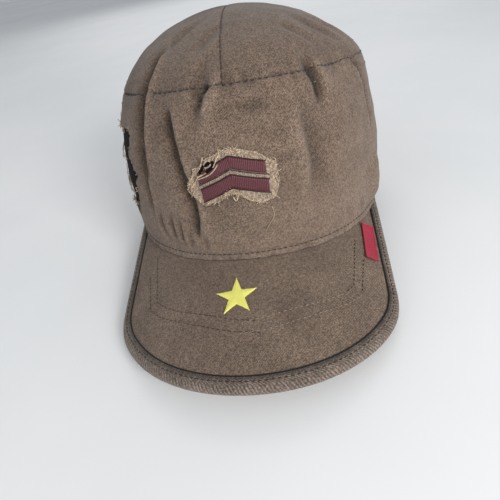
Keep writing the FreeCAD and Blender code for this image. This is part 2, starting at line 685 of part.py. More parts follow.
REACH = "(bar_back + buckle_half_length)"
polygon(clearing, [(f"-{REACH}", f"-{REACH}"), (REACH, f"-{REACH}"), (REACH, REACH), (f"-{REACH}", REACH)])
plate_sides = [("-buckle_half_length", "-plate"), ("buckle_half_length", "-plate"),
               ("buckle_half_length", "0"), ("-buckle_half_length", "0")]
polygon(clearing, plate_sides)
circle(clearing, "-bar_back", "-bar_depth", "bar_radius")
doc.recompute()
pocket = frame.newObject("PartDesign::Pocket", "between_ears")
pocket.Profile = clearing
pocket.Reversed = True
bind(pocket, Length="strap_width + 2 * ear_gap")
doc.recompute()
pivots = body_sketch(frame, "pivot_outline", EAR_OUTSIDE)
circle(pivots, "pivot_along", "pivot_height", "pin_radius + pin_slack")
pivot_holes = frame.newObject("PartDesign::Pocket", "pivot_holes")
pivot_holes.Profile = pivots
pivot_holes.Reversed = True
bind(pivot_holes, Length=FRAME_HEIGHT)
parts["buckle_frame"] = frame

gate = doc.addObject("PartDesign::Body", "buckle_gate")
GATE_BOTTOM = "(strap_bottom - ear_gap + gate_gap)"
lever = body_sketch(gate, "lever_outline", GATE_BOTTOM)
LEVER_TOP = "(pivot_height + gate_boss)"
LEVER_UNDER = f"{LEVER_TOP} - plate"
polygon(lever, [("pivot_along - gate_reach", LEVER_UNDER), ("pivot_along - tooth", LEVER_UNDER),
                ("pivot_along - tooth", "pivot_height - gate_boss"),
                ("pivot_along", "pivot_height - gate_boss"),
                ("pivot_along + gate_boss * sin(45)", "pivot_height - gate_boss * cos(45)"),
                ("pivot_along + gate_boss", "pivot_height"),
                ("pivot_along + gate_boss * sin(45)", "pivot_height + gate_boss * cos(45)"),
                ("pivot_along", LEVER_TOP), ("pivot_along - gate_reach", LEVER_TOP)])
padded(gate, lever, "strap_width + 2 * ear_gap - 2 * gate_gap")
pin = body_sketch(gate, "pin_outline", f"{EAR_OUTSIDE} + ply_gap")
circle(pin, "pivot_along", "pivot_height", "pin_radius")
padded(gate, pin, f"{FRAME_HEIGHT} - 2 * ply_gap")
parts["buckle_gate"] = gate
doc.recompute()

# Standing on a table: the visor's lowest edge and the rear hem carry the cap

for name in ("buckle_frame", "buckle_gate"):
    bind(parts[name], Placement=at_buckle("0", "0", "0"))
doc.recompute()
loose = {name: part.Shape for name, part in parts.items()}


def low_points(shape):
    return [(point.y, point.z) for point in shape.tessellate(0.1)[0]]


def lowest(points, tilt):
    turn = math.radians(tilt)
    return min(-y * math.sin(turn) + z * math.cos(turn) for y, z in points)


visor_points = low_points(loose["visor_binding"])
hem_points = [point for name in ("back_panel_left", "back_panel_right") for point in low_points(loose[name])]
low, high = 0.0, 45.0
for _ in range(40):
    tilt = (low + high) / 2
    if lowest(visor_points, tilt) < lowest(hem_points, tilt):
        low = tilt
    else:
        high = tilt

turn = FreeCAD.Rotation(FreeCAD.Vector(1, 0, 0), -tilt)
whole = Part.makeCompound(list(loose.values()))
whole.Placement = FreeCAD.Placement(FreeCAD.Vector(), turn)
room = whole.optimalBoundingBox(False)
for name, value in zip(STAND, (tilt, -room.Center.x, -room.Center.y, -room.ZMin)):
    sheet.set(name, f"{value:.6f}")
doc.recompute()

STAND_SHIFT = vector("stand_across", "stand_along", "stand_lift")
STANDING = f"placement({STAND_SHIFT}; rotation(vector(1; 0; 0); -stand_tilt))"
for name, part in parts.items():
    if part.TypeId == "PartDesign::Body":
        bind(part, Placement=f"{STANDING} * {at_buckle('0', '0', '0')}")
    else:
        bind(part, Placement=STANDING)
    part.Label = name
doc.recompute()

for thing in doc.Objects:
    if any(word in thing.State for word in ("Invalid", "Error")):
        raise RuntimeError(f"{thing.Name} failed: {thing.State} {thing.getStatusString()}")

os.makedirs("parts", exist_ok=True)
for name, part in parts.items():
    shape = part.Shape
    if shape.isNull() or not shape.isValid():
        raise RuntimeError(f"{name} has no valid shape")
    shape.exportStep(f"parts/{name}.step")
    print(f"{name:20s} solids {len(shape.Solids)}  volume {shape.Volume:9.1f}")
print("tilt", round(tilt, 2), "sheet", room.XLength, room.YLength, room.ZLength)
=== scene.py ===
# %% [markdown]
# A soft field cap
#
# This lesson dresses the cap's CAD model in cloth. Every cloth piece is drawn in the cap's own frame,
# where the hem lies in the plane z = 0, the visor points along -Y and +X is the wearer's left. Each is
# then stood on the table with the same turn and shift, which the record's head opening gives. Sizes are
# in metres, and MM turns the millimetres of a pattern cutter into them.

# %% Tools and the frame
import json
import math
import random

import bpy
import numpy as np
from mathutils import Matrix, Vector, noise
from mathutils.bvhtree import BVHTree


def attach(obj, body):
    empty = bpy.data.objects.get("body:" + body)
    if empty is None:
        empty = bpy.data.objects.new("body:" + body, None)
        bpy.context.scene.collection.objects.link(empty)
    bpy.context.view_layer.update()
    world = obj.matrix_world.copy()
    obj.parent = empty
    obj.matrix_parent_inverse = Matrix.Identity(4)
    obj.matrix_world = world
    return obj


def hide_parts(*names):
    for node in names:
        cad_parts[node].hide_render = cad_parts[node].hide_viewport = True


MM = 0.001
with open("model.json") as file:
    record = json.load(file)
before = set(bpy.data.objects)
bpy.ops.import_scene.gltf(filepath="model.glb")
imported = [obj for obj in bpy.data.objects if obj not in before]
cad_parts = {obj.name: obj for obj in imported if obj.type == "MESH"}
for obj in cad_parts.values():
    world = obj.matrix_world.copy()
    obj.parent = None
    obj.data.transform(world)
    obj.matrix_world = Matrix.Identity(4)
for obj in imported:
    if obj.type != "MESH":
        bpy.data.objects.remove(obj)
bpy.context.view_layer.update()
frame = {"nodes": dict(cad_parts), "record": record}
opening = next(mount for mount in frame["record"]["mounts"] if mount["name"] == "head_opening")
tilt = math.atan2(-opening["axis"][1], -opening["axis"][2])
STAND = Matrix.Translation(opening["pos_m"]) @ Matrix.Rotation(-tilt, 4, "X")
chance = random.Random(7)
print("the hem leans forward by", round(math.degrees(tilt), 1), "degrees")

# %% [markdown]
# The sizes of the pattern
#
# The crown is an oval tube that draws in towards a seam, closed by a low dome. The visor is a piece of
# a long cylinder that slopes down from the hem. The same few sizes place every piece below.

# %% Sizes
HALF_WIDTH = 88.4 * MM
HALF_LENGTH = 100 * MM
WALL = 1.2 * MM
SEAM_HALF_WIDTH = 74.5 * MM
SEAM_HALF_LENGTH = 89.5 * MM
SEAM_HEIGHT = 86 * MM
SEAM_SHIFT = 0 * MM
SEAM_TILT = math.radians(3.9)
CROWN_RISE = 37.5 * MM
CROWN_SINK = 20 * MM
SIDE_SEAM = 110

VISOR_SLOPE = math.radians(17.2)
VISOR_ARCH = 172 * MM
VISOR_REACH = 74.5 * MM
VISOR_ANGLE = math.radians(71)
CORNER_HALF = 79.5 * MM
CORNER_RADIUS = 43.6 * MM
LIP_RADIUS = 87.3 * MM
VISOR_THICKNESS = 3.7 * MM
BINDING_WIDTH = 4.6 * MM
BINDING_FRONT = 1.6 * MM

# %% [markdown]
# The camera
#
# The photograph was taken from above and a little to the cap's left, close by with a wide lens. Its
# place was found by matching the outline of hem, visor and crown. Pixels of the photograph's 500 by 500
# frame can then be shot back through the same lens, to find where on the cloth a fold or a stitch lies.

# %% Camera
FRAME_SIDE = 500
FOCAL = 374.6
EYE = Vector((27.3 * MM, -275.9 * MM, 117.5 * MM))
YAW = math.radians(-8.495)
PITCH = math.radians(31.88)
ROLL = math.radians(-10.13)

ahead = Vector((math.sin(YAW) * math.cos(PITCH), math.cos(YAW) * math.cos(PITCH), -math.sin(PITCH)))
level = Vector((math.cos(YAW), -math.sin(YAW), 0))
lift = level.cross(ahead)
RIGHT = level * math.cos(ROLL) + lift * math.sin(ROLL)
UP = lift * math.cos(ROLL) - level * math.sin(ROLL)
aim = Matrix((RIGHT, UP, -ahead)).transposed().to_4x4()

bpy.ops.object.camera_add()
camera = bpy.context.object
camera.name = "camera"
camera.data.sensor_width = 36
camera.data.lens = 36 * FOCAL / FRAME_SIDE
camera.matrix_world = STAND @ Matrix.Translation(EYE) @ aim
bpy.context.scene.camera = camera


def shoot(tree, pixel):
    """Where the ray through a pixel of the photograph meets a surface, and the way out there."""
    half = FRAME_SIDE / 2
    ray = ahead * FOCAL + RIGHT * (pixel[0] - half) + UP * (half - pixel[1])
    spot, outward, _, _ = tree.ray_cast(EYE, ray.normalized())
    return spot, outward


# %% [markdown]
# Helpers for cloth
#
# A cloth panel is a grid of threads, so it starts as a grid primitive, and each crossing is laid onto
# the form it was sewn over. Its UV map is given real lengths in metres, so that one weave fits all
# panels. Thickness comes last, from a Solidify modifier that is applied.

# %% Cloth helpers
def alone(piece):
    """Select one piece and nothing else."""
    bpy.ops.object.select_all(action="DESELECT")
    piece.select_set(True)
    bpy.context.view_layer.objects.active = piece
    return piece


def points_of(piece):
    flat = np.zeros(len(piece.data.vertices) * 3)
    piece.data.vertices.foreach_get("co", flat)
    return flat.reshape(-1, 3)


def move_points(piece, points):
    piece.data.vertices.foreach_set("co", np.asarray(points, float).ravel())
    piece.data.update()


def normals_of(piece):
    flat = np.zeros(len(piece.data.vertices) * 3)
    piece.data.vertex_normals.foreach_get("vector", flat)
    return flat.reshape(-1, 3)


def lay_grain(piece, flat):
    """Give each corner the UV of its vertex, in metres."""
    corners = np.zeros(len(piece.data.loops), int)
    piece.data.loops.foreach_get("vertex_index", corners)
    layer = piece.data.uv_layers.active or piece.data.uv_layers.new(name="grain")
    layer.data.foreach_set("uv", np.asarray(flat, float)[corners].ravel())


def woven(name, columns, rows, place, closed=False):
    """A grid primitive whose crossings are laid by place(across, up), both shares from 0 to 1."""
    bpy.ops.object.select_all(action="DESELECT")
    bpy.ops.mesh.primitive_grid_add(x_subdivisions=columns, y_subdivisions=rows, size=1)
    piece = bpy.context.object
    piece.name = name
    shares = points_of(piece)[:, :2] + 0.5
    laid = np.array([place(across, up) for across, up in shares])
    move_points(piece, laid)
    order = np.lexsort((shares[:, 0], shares[:, 1]))
    net = laid[order].reshape(rows + 1, columns + 1, 3)
    width = np.linalg.norm(np.diff(net, axis=1), axis=2).sum(1).mean()
    height = np.linalg.norm(np.diff(net, axis=0), axis=2).sum(0).mean()
    lay_grain(piece, shares * (width, height))
    if closed:
        bpy.ops.object.mode_set(mode="EDIT")
        bpy.ops.mesh.select_all(action="SELECT")
        bpy.ops.mesh.remove_doubles(threshold=0.002 * MM)
        bpy.ops.object.mode_set(mode="OBJECT")
    bpy.ops.object.shade_smooth()
    return piece


def apply(piece, kind, **settings):
    """Add one modifier, set it and apply it."""
    alone(piece)
    modifier = piece.modifiers.new(kind.title(), kind)
    for key, value in settings.items():
        setattr(modifier, key, value)
    bpy.ops.object.modifier_apply(modifier=modifier.name)
    return piece


def thicken(piece, cloth, offset=-1):
    return apply(piece, "SOLIDIFY", thickness=cloth, offset=offset, use_even_offset=False)


def keep_faces(piece, kept):
    """Delete every face that isn't kept."""
    alone(piece)
    bpy.ops.object.mode_set(mode="EDIT")
    bpy.ops.mesh.select_mode(type="FACE")
    bpy.ops.mesh.select_all(action="DESELECT")
    bpy.ops.object.mode_set(mode="OBJECT")
    piece.data.polygons.foreach_set("select", ~np.asarray(kept, bool))
    bpy.ops.object.mode_set(mode="EDIT")
    bpy.ops.mesh.delete(type="FACE")
    bpy.ops.object.mode_set(mode="OBJECT")
    return piece


def copy_of(piece, name):
    alone(piece)
    bpy.ops.object.duplicate()
    double = bpy.context.object
    double.name = name
    return double


def tree_of(piece):
    return BVHTree.FromPolygons([vertex.co for vertex in piece.data.vertices],
                                [polygon.vertices for polygon in piece.data.polygons])


def wander(point, pitch, seed=0):
    """Smooth noise from -1 to 1 with bumps about pitch wide."""
    return noise.noise(Vector(point) / pitch + Vector((seed * 7.3, seed * 3.1, seed * 5.7)))


# %% [markdown]
# Materials
#
# The cap is washed cotton twill. Seen close, twill is fine diagonal ribs; seen from a little further it
# is a mottle of warm and cool brown, paler where folds and seams have rubbed, with shade painted darker
# into their valleys. Each cloth is one function call: ribs and thread noise on the UV map, wash marks on Object
# coordinates, and rubbing and painted shade from a vertex attribute that the sculpting below writes.

# %% Material helpers
def shade(red, green, blue):
    """A screen colour, 0 to 255, as the linear colour that a shader takes."""
    parts = [value / 255 for value in (red, green, blue)]
    linear = [part / 12.92 if part <= 0.04045 else ((part + 0.055) / 1.055) ** 2.4 for part in parts]
    return (*linear, 1)


class Finish:
    """A material whose nodes are added one call at a time."""

    def __init__(self, name, rough=0.9, metal=0.0, sheen=0.0, gloss=0.5):
        self.material = bpy.data.materials.new(name)
        self.material.use_nodes = True
        self.tree = self.material.node_tree
        self.shader = self.tree.nodes["Principled BSDF"]
        self.shader.inputs["Roughness"].default_value = rough
        self.shader.inputs["Metallic"].default_value = metal
        self.shader.inputs["Sheen Weight"].default_value = sheen
        self.shader.inputs["Specular IOR Level"].default_value = gloss

    def add(self, kind, links=(), **values):
        """A node with its values set, and each (input, output socket) of links joined."""
        node = self.tree.nodes.new(kind)
        for key, value in values.items():
            if key in node.inputs:
                node.inputs[key].default_value = value
            else:
                setattr(node, key, value)
        for key, socket in links:
            self.tree.links.new(socket, node.inputs[key])
        return node

    def join(self, socket, key):
        self.tree.links.new(socket, self.shader.inputs[key])

    def coordinates(self, kind="Object"):
        return self.add("ShaderNodeTexCoord").outputs[kind]

    def grain(self, turn, stretch=(1, 1, 1)):
        """UV coordinates turned by some degrees about their corner."""
        return self.add("ShaderNodeMapping", [("Vector", self.coordinates("UV"))],
                        Rotation=(0, 0, math.radians(turn)), Scale=stretch).outputs["Vector"]

    def ribs(self, vector, pitch, bend=0.0):
        """Parallel ribs, pitch metres apart."""
        return self.add("ShaderNodeTexWave", [("Vector", vector)], wave_profile="SIN",
                        Scale=2 * math.pi / (20 * pitch), Distortion=bend, Detail=1.0).outputs["Fac"]

    def specks(self, vector, pitch, detail=2.0):
        return self.add("ShaderNodeTexNoise", [("Vector", vector)], Scale=1 / pitch, Detail=detail,
                        Roughness=0.6).outputs["Fac"]

    def ramp(self, socket, *stops):
        """Colours at places along a 0 to 1 value."""
        node = self.add("ShaderNodeValToRGB", [("Fac", socket)])
        stripe = node.color_ramp.elements
        while len(stripe) < len(stops):
            stripe.new(0.5)
        for element, (place, colour) in zip(stripe, stops):
            element.position = place
            element.color = colour
        return node.outputs["Color"]

    def mix(self, amount, first, second, blend="MIX"):
        """Two colours mixed; amount is a number or a socket."""
        node = self.add("ShaderNodeMix", data_type="RGBA", blend_type=blend)
        for place, value in ((0, amount), (6, first), (7, second)):
            if isinstance(value, bpy.types.NodeSocket):
                self.tree.links.new(value, node.inputs[place])
            else:
                node.inputs[place].default_value = value
        return node.outputs[2]

    def sums(self, operation, first, second):
        node = self.add("ShaderNodeMath", operation=operation)
        for place, value in enumerate((first, second)):
            if isinstance(value, bpy.types.NodeSocket):
                self.tree.links.new(value, node.inputs[place])
            else:
                node.inputs[place].default_value = value
        return node.outputs[0]

    def bump(self, height, depth, strength=1.0):
        node = self.add("ShaderNodeBump", [("Height", height)], Distance=depth, Strength=strength)
        self.join(node.outputs["Normal"], "Normal")


def grey(value):
    return (value, value, value, 1)


def twill(name, pale, dark, turn=45, pitch=0.9 * MM, ribbing=0.35, mottle=0.5, rubbed=None, dusty_and_shade=None, sheen=0.15):
    """Washed cotton twill between two colours."""
    cloth = Finish(name, rough=0.95, sheen=sheen, gloss=0.2)
    cloth.shader.inputs["Sheen Roughness"].default_value = 0.6
    place = cloth.coordinates()
    ribs = cloth.ribs(cloth.grain(turn), pitch, bend=1.2)
    threads = cloth.specks(cloth.grain(turn, (1, 0.35, 1)), 0.55 * MM, 3)
    wash = cloth.specks(place, 22 * MM, 4)
    base = cloth.mix(cloth.ramp(wash, (0.3, grey(0)), (0.72, grey(1))), dark, pale)
    wear_and_shade = cloth.add("ShaderNodeAttribute", attribute_name="wear_and_shade").outputs["Fac"]
    base = cloth.mix(cloth.sums("MAXIMUM", wear_and_shade, 0.0), base, rubbed or pale)
    # Below zero the attribute mixes towards the darkest colour: random darker tone, and painted shade in fold valleys,
    # seam grooves and beside the visor's cord.
    base = cloth.mix(cloth.sums("MAXIMUM", cloth.sums("MULTIPLY", wear_and_shade, -1.0), 0.0), base, dusty_and_shade or dark)
    for size, strength in ((0.8 * MM, 1.15), (2.6 * MM, 0.3)):
        flecks = cloth.ramp(cloth.specks(place, size, 3), (0.4, grey(1 - strength * mottle)), (0.6, grey(1)))
        base = cloth.mix(1.0, base, flecks, "MULTIPLY")
    lines = cloth.ramp(cloth.sums("ADD", cloth.sums("MULTIPLY", ribs, 0.6), cloth.sums("MULTIPLY", threads, 0.4)),
                       (0.25, grey(1 - 0.5 * ribbing)), (0.7, grey(1)))
    base = cloth.mix(1.0, base, lines, "MULTIPLY")
    cloth.join(base, "Base Color")
    relief = cloth.sums("ADD", cloth.sums("MULTIPLY", ribs, 0.6), cloth.sums("MULTIPLY", threads, 0.6))
    cloth.bump(relief, 0.22 * MM, 0.7)
    return cloth.material


def dye(piece, finish, slot, body="cap", *nodes):
    """Give a finished piece its material, stand it on the table and let it ride on its body."""
    piece.data.materials.clear()
    piece.data.materials.append(finish)
    piece.matrix_world = STAND @ piece.matrix_world
    alone(piece)
    bpy.ops.object.transform_apply(location=True, rotation=True, scale=True)
    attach(piece, body)
    if nodes:
        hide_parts(*nodes)
    return piece


# %% Cloth and thread finishes
# The last colour of each cloth is its darkest: random darker tone, and on the crown and binding painted shade for fold
# valleys, seam grooves and the edge by the cord.
crown_twill = twill("crown twill", shade(152, 129, 111), shade(130, 109, 93), rubbed=shade(182, 159, 139),
                    dusty_and_shade=shade(48, 38, 29))
visor_twill = twill("visor twill", shade(155, 133, 114), shade(136, 115, 99), turn=40, rubbed=shade(172, 150, 131),
                    dusty_and_shade=shade(68, 57, 48))
edge_twill = twill("binding twill", shade(162, 144, 129), shade(128, 112, 100), turn=52, pitch=1.15 * MM, ribbing=1.0,
                   rubbed=shade(187, 167, 152), dusty_and_shade=shade(56, 48, 42))
band_cotton = twill("band cotton", shade(84, 74, 65), shade(70, 61, 54), turn=90, pitch=0.7 * MM, mottle=0.3)
tape_cotton = twill("tape cotton", shade(96, 86, 76), shade(80, 71, 62), turn=0, pitch=1.0 * MM, mottle=0.3)
black_cotton = twill("black cotton", shade(22, 20, 19), shade(11, 10, 9), pitch=0.8 * MM, mottle=0.3, sheen=0)
patch_twill = twill("patch twill", shade(206, 184, 162), shade(178, 156, 136), turn=20, pitch=1.0 * MM,
                    rubbed=shade(214, 194, 168), dusty_and_shade=shade(104, 86, 72))
ribbon_red = twill("red ribbon", shade(200, 52, 78), shade(182, 38, 64), turn=0, pitch=0.6 * MM, mottle=0.25,
                   rubbed=shade(222, 96, 116), dusty_and_shade=shade(140, 24, 46))


def spun(name, pale, dark, pitch=0.5 * MM, gloss=0.35, rough=0.65):
    """Twisted sewing thread."""
    thread = Finish(name, rough=rough, sheen=0.1, gloss=gloss)
    twist = thread.specks(thread.coordinates(), pitch, 2)
    thread.join(thread.ramp(twist, (0.3, dark), (0.7, pale)), "Base Color")
    thread.bump(twist, 0.1 * MM, 0.5)
    return thread.material


seam_thread = spun("dark sewing thread", shade(62, 50, 42), shade(36, 28, 24))
tan_thread = spun("tan sewing thread", shade(176, 158, 138), shade(126, 110, 94))
worn_thread = spun("worn sewing thread", shade(146, 128, 112), shade(96, 82, 70))
fray_thread = spun("frayed thread", shade(226, 202, 174), shade(138, 116, 96), pitch=1.4 * MM, rough=0.8)
cord_black = spun("dark corded edge", shade(24, 20, 18), shade(12, 10, 9), rough=0.7)


def satin(name, pale, dark, pitch=0.7 * MM):
    """Embroidery thread laid side by side; the piece's UV runs along and across the threads."""
    silk = Finish(name, rough=0.5, sheen=0.15, gloss=0.45)
    lines = silk.ribs(silk.grain(0), pitch, bend=2.0)
    specks = silk.specks(silk.coordinates("UV"), 0.8 * MM, 3)
    blend = silk.sums("ADD", silk.sums("MULTIPLY", lines, 0.6), silk.sums("MULTIPLY", specks, 0.4))
    silk.join(silk.ramp(blend, (0.15, dark), (0.7, pale)), "Base Color")
    silk.bump(blend, 0.25 * MM, 0.9)
    return silk.material


star_silk = satin("yellow embroidery", shade(255, 254, 138), shade(250, 238, 100), 0.9 * MM)
chevron_silk = satin("dark red embroidery", shade(104, 42, 50), shade(44, 14, 20), 0.9 * MM)
outline_silk = satin("dark outline embroidery", shade(48, 22, 24), shade(26, 12, 12), 0.5 * MM)

# %% [markdown]
# The crown as one sheet
#
# On the real cap the front wraps round to behind the ears, two back panels meet at the back, and two
# panels make the top. Folds run across those seams, so the crown is first laid as one closed sheet,
# sculpted as a whole, and only then cut into its panels.

# %% Crown sheet
HEM_DROP = 0.4 * MM
PROFILE = [(0, HALF_WIDTH, HALF_LENGTH), (20, 88.9 * MM, 101.2 * MM), (39, 88.8 * MM, 101 * MM), (56, 86 * MM, 99.4 * MM),
           (71, 81.4 * MM, 96 * MM), (81, 77 * MM, 92.2 * MM), (86, SEAM_HALF_WIDTH, SEAM_HALF_LENGTH)]
HEIGHTS = [level[0] * MM for level in PROFILE]
COLUMNS, WALL_ROWS, DOME_ROWS = 360, 72, 58
SEAM_SHARE = WALL_ROWS / (WALL_ROWS + DOME_ROWS)


def visor_height(x, y, raised=0.0):
    """The height of the visor's surface over a point of the hem plane."""
    drop = VISOR_ARCH - math.sqrt(max((VISOR_ARCH + raised) ** 2 - x * x, 0))
    along = (-HALF_LENGTH - y + drop * math.sin(VISOR_SLOPE)) / math.cos(VISOR_SLOPE)
    return -along * math.sin(VISOR_SLOPE) - drop * math.cos(VISOR_SLOPE)


def hem_height(turn):
    """The crown's lower edge: on the visor at the front, level behind it."""
    if abs(turn) > VISOR_ANGLE:
        return 0.0
    return min(visor_height(HALF_WIDTH * math.sin(turn), -HALF_LENGTH * math.cos(turn)) + HEM_DROP, HEM_DROP)


def crown_place(across, up):
    """Turn runs from the back round the right side; up runs from the hem to the middle of the top."""
    turn = (across - 0.5) * 2 * math.pi
    if up <= SEAM_SHARE:
        height = SEAM_HEIGHT * up / SEAM_SHARE
        wide = np.interp(height, HEIGHTS, [level[1] for level in PROFILE])
        long = np.interp(height, HEIGHTS, [level[2] for level in PROFILE])
        share = up / SEAM_SHARE
        y = -long * math.cos(turn)
        lean = y * math.sin(SEAM_TILT) * share
        return (wide * math.sin(turn), y + SEAM_SHIFT * share, height - lean + hem_height(turn) * (1 - share) ** 3)
    start = math.asin(CROWN_SINK / (CROWN_SINK + CROWN_RISE))
    climb = start + (math.pi / 2 - start) * (up - SEAM_SHARE) / (1 - SEAM_SHARE)
    rise = (CROWN_SINK + CROWN_RISE) * math.sin(climb) - CROWN_SINK
    spread = math.cos(climb) / math.cos(start)
    y = -SEAM_HALF_LENGTH * spread * math.cos(turn)
    return (SEAM_HALF_WIDTH * spread * math.sin(turn),
            SEAM_SHIFT + y * math.cos(SEAM_TILT) + rise * math.sin(SEAM_TILT),
            SEAM_HEIGHT - y * math.sin(SEAM_TILT) + rise * math.cos(SEAM_TILT))


crown_sheet = woven("crown_sheet", COLUMNS, WALL_ROWS + DOME_ROWS, crown_place, closed=True)
apply(crown_sheet, "SMOOTH", factor=0.5, iterations=6)
print("crown sheet:", len(crown_sheet.data.polygons), "faces")

# %% [markdown]
# Sculpting the folds
#
# Each fold is a line found in the photograph. The cloth near it is pressed in by a smooth bump with a
# raised shoulder beside it, strongest in the middle of the line. The same amounts are kept as wear and
# painted shade, which makes rubbed ridges pale and paints shade into the valleys. A seam is a narrow fold all along its
# line.

# %% Fold tools
crown_tree = tree_of(crown_sheet)
crown_points = points_of(crown_sheet)
crown_out = normals_of(crown_sheet)
crown_wear_and_shade = np.zeros(len(crown_points))


def on_crown(pixels):
    """The points of the crown's sheet that a line of pixels shows."""
    spots = [shoot(crown_tree, pixel)[0] for pixel in pixels]
    return [spot for spot in spots if spot is not None]


def seam_line(start, stop, count=90):
    """Points of the crown seam between two shares of the way round."""
    return [Vector(crown_place(start + (stop - start) * step / count, SEAM_SHARE)) for step in range(count + 1)]


def along_line(points, line):
    """For each point: its distance to a line, its side, and its share along it."""
    nearest = np.full(len(points), np.inf)
    side = np.zeros(len(points))
    share = np.zeros(len(points))
    line = [np.array(spot) for spot in line]
    steps = [np.linalg.norm(b - a) for a, b in zip(line, line[1:])]
    gone, total = 0.0, sum(steps)
    for a, b, step in zip(line, line[1:], steps):
        way = (b - a) / step
        along = np.clip((points - a) @ way, 0, step)
        gap = points - a - along[:, None] * way
        distance = np.linalg.norm(gap, axis=1)
        closer = distance < nearest
        nearest[closer] = distance[closer]
        hand = np.einsum("ij,ij->i", np.cross(way, gap), crown_out)
        side[closer] = np.sign(hand)[closer]
        share[closer] = ((gone + along) / total)[closer]
        gone += step
    return nearest, side, share


def press(line, width, depth, shoulder=0.5, lean=0.0, fade=0.18, worn_and_shaded=1.0):
    """Press a fold along a line: lean puts its raised shoulder on one side, fade softens its ends."""
    distance, side, share = along_line(crown_points, line)
    ends = np.clip(np.minimum(share, 1 - share) / fade, 0, 1) if fade else np.ones(len(share))
    ends = ends * ends * (3 - 2 * ends)
    signed = distance * side / width
    valley = np.exp(-signed ** 2)
    crest = np.exp(-((np.abs(signed) - 1.8) / 0.9) ** 2) * (1 + lean * side)
    change = ends * depth * (shoulder * crest - valley)
    crown_points[:] = crown_points + crown_out * change[:, None]
    # Crests are kept paler as rubbing, and shade is painted darker into the valley.
    crown_wear_and_shade[:] += worn_and_shaded * ends * (0.35 * shoulder * crest - 0.75 * valley) * min(1, abs(depth) / (2.2 * MM)) * np.sign(depth)


def crease(line, wide, sharp, depth, fade=0.15, dark=0.8):
    """A valley that sinks slowly from the line's left and rises sharply on its right."""
    distance, side, share = along_line(crown_points, line)
    ends = np.clip(np.minimum(share, 1 - share) / fade, 0, 1)
    ends = ends * ends * (3 - 2 * ends)
    valley = ends * np.exp(-(distance / np.where(side < 0, wide, sharp)) ** 2)
    ridge = ends * np.exp(-((distance - 2.4 * sharp) / (1.6 * sharp)) ** 2) * (side > 0)
    crown_points[:] = crown_points + crown_out * (0.3 * depth * ridge - depth * valley)[:, None]
    # The ridge is kept paler as rubbing, and dark sets how much shade is painted into the valley.
    crown_wear_and_shade[:] += 0.3 * ridge - dark * valley


def swell(line, width, rise):
    """Raise a broad soft ridge along a line, or sink it with a negative rise."""
    distance, _, share = along_line(crown_points, line)
    ends = np.clip(np.minimum(share, 1 - share) / 0.25, 0, 1)
    ends = ends * ends * (3 - 2 * ends)
    crown_points[:] = crown_points + crown_out * (ends * rise * np.exp(-(distance / width) ** 2))[:, None]


# %% Folds that the photograph shows
CROSSING_FOLD = [(209, 52), (204, 66), (200, 84), (196, 104), (192, 126), (196, 146)]
PINCH = [(208, 85), (200, 93), (198, 104), (194, 114)]
LONG_FOLD = [(165, 104), (169, 122), (173, 142), (178, 162), (185.5, 182), (193, 200), (197, 217), (199, 243)]
SIDE_FOLD = [(166, 46), (158, 62), (151, 78), (147, 92), (144, 110), (143.5, 134), (145.5, 160), (149, 182)]
LEFT_TUCK = [(135, 130), (140, 150), (144, 172), (150, 196), (156, 220)]
NOTCH_FOLD = [(303, 52), (309, 66), (317, 78), (322, 92), (322, 108)]
RIGHT_VALLEY = [(318, 84), (324, 104), (325, 126), (323, 150)]
RIGHT_RIDGE = [(298, 92), (303, 116), (309, 136), (314, 161), (314, 182), (311, 200)]
CHEEK_DENT = [(230, 104), (247, 106), (262, 103), (276, 96)]
PATCH_DENT = [(270, 162), (284, 158), (298, 152)]
BROW_DENT = [(262, 138), (276, 134), (290, 126)]
RIGHT_FLAP = [(343, 58), (353, 70), (362, 88), (368, 108), (371, 132)]
RIGHT_BULGE = [(370, 158), (372, 172), (372, 186), (369, 196)]
TOP_RUNS = [[(284, 14), (312, 26), (334, 42), (348, 58)], [(296, 12), (322, 24), (345, 42), (356, 58)],
            [(270, 20), (300, 34), (322, 50)]]
TOP_LEFT_RUNS = [[(214, 14), (188, 30), (168, 50), (156, 72)], [(226, 22), (206, 40), (192, 60)]]
HEM_PUCKERS = [[(157, 205), (163, 226), (172, 244)], [(168, 208), (173, 228), (181, 248)],
               [(177, 216), (181, 232), (187, 249)], [(187, 222), (190, 238), (194, 252)],
               [(203, 226), (205, 240), (207, 254)]]
CORNER_PUCKERS = [[(346, 205), (350, 214), (352, 222)], [(360, 196), (362, 206), (363, 212)]]

crease(on_crown(LONG_FOLD), 6.0 * MM, 1.3 * MM, 4.4 * MM, fade=0.1, dark=0.65)
crease(on_crown(SIDE_FOLD), 6.5 * MM, 1.3 * MM, 5.6 * MM, dark=0.85)
crease(on_crown(CROSSING_FOLD), 3.0 * MM, 2.4 * MM, 2.4 * MM, fade=0.4, dark=0.35)
crease(on_crown(PINCH), 2.0 * MM, 1.5 * MM, 4.0 * MM, fade=0.12, dark=1.4)
crease(on_crown(LEFT_TUCK), 4 * MM, 1.4 * MM, 2.6 * MM, fade=0.3, dark=0.4)
crease(on_crown(NOTCH_FOLD), 3.2 * MM, 1.8 * MM, 4.0 * MM, fade=0.35, dark=1.0)
crease(on_crown(RIGHT_RIDGE[::-1]), 9 * MM, 2.2 * MM, 2.6 * MM, fade=0.3, dark=0.4)
crease(on_crown(RIGHT_FLAP[::-1]), 3.0 * MM, 1.0 * MM, 3.4 * MM, fade=0.2, dark=0.9)
swell(seam_line(0.63, 0.80), 15 * MM, 4.0 * MM)
swell(on_crown(RIGHT_BULGE), 10 * MM, 4.0 * MM)
swell(on_crown(RIGHT_VALLEY), 8 * MM, -1.6 * MM)
press(on_crown(CHEEK_DENT), 3.2 * MM, 1.3 * MM, shoulder=0.5, fade=0.4)
press(on_crown(PATCH_DENT), 2.6 * MM, 0.9 * MM, shoulder=0.4, fade=0.4)
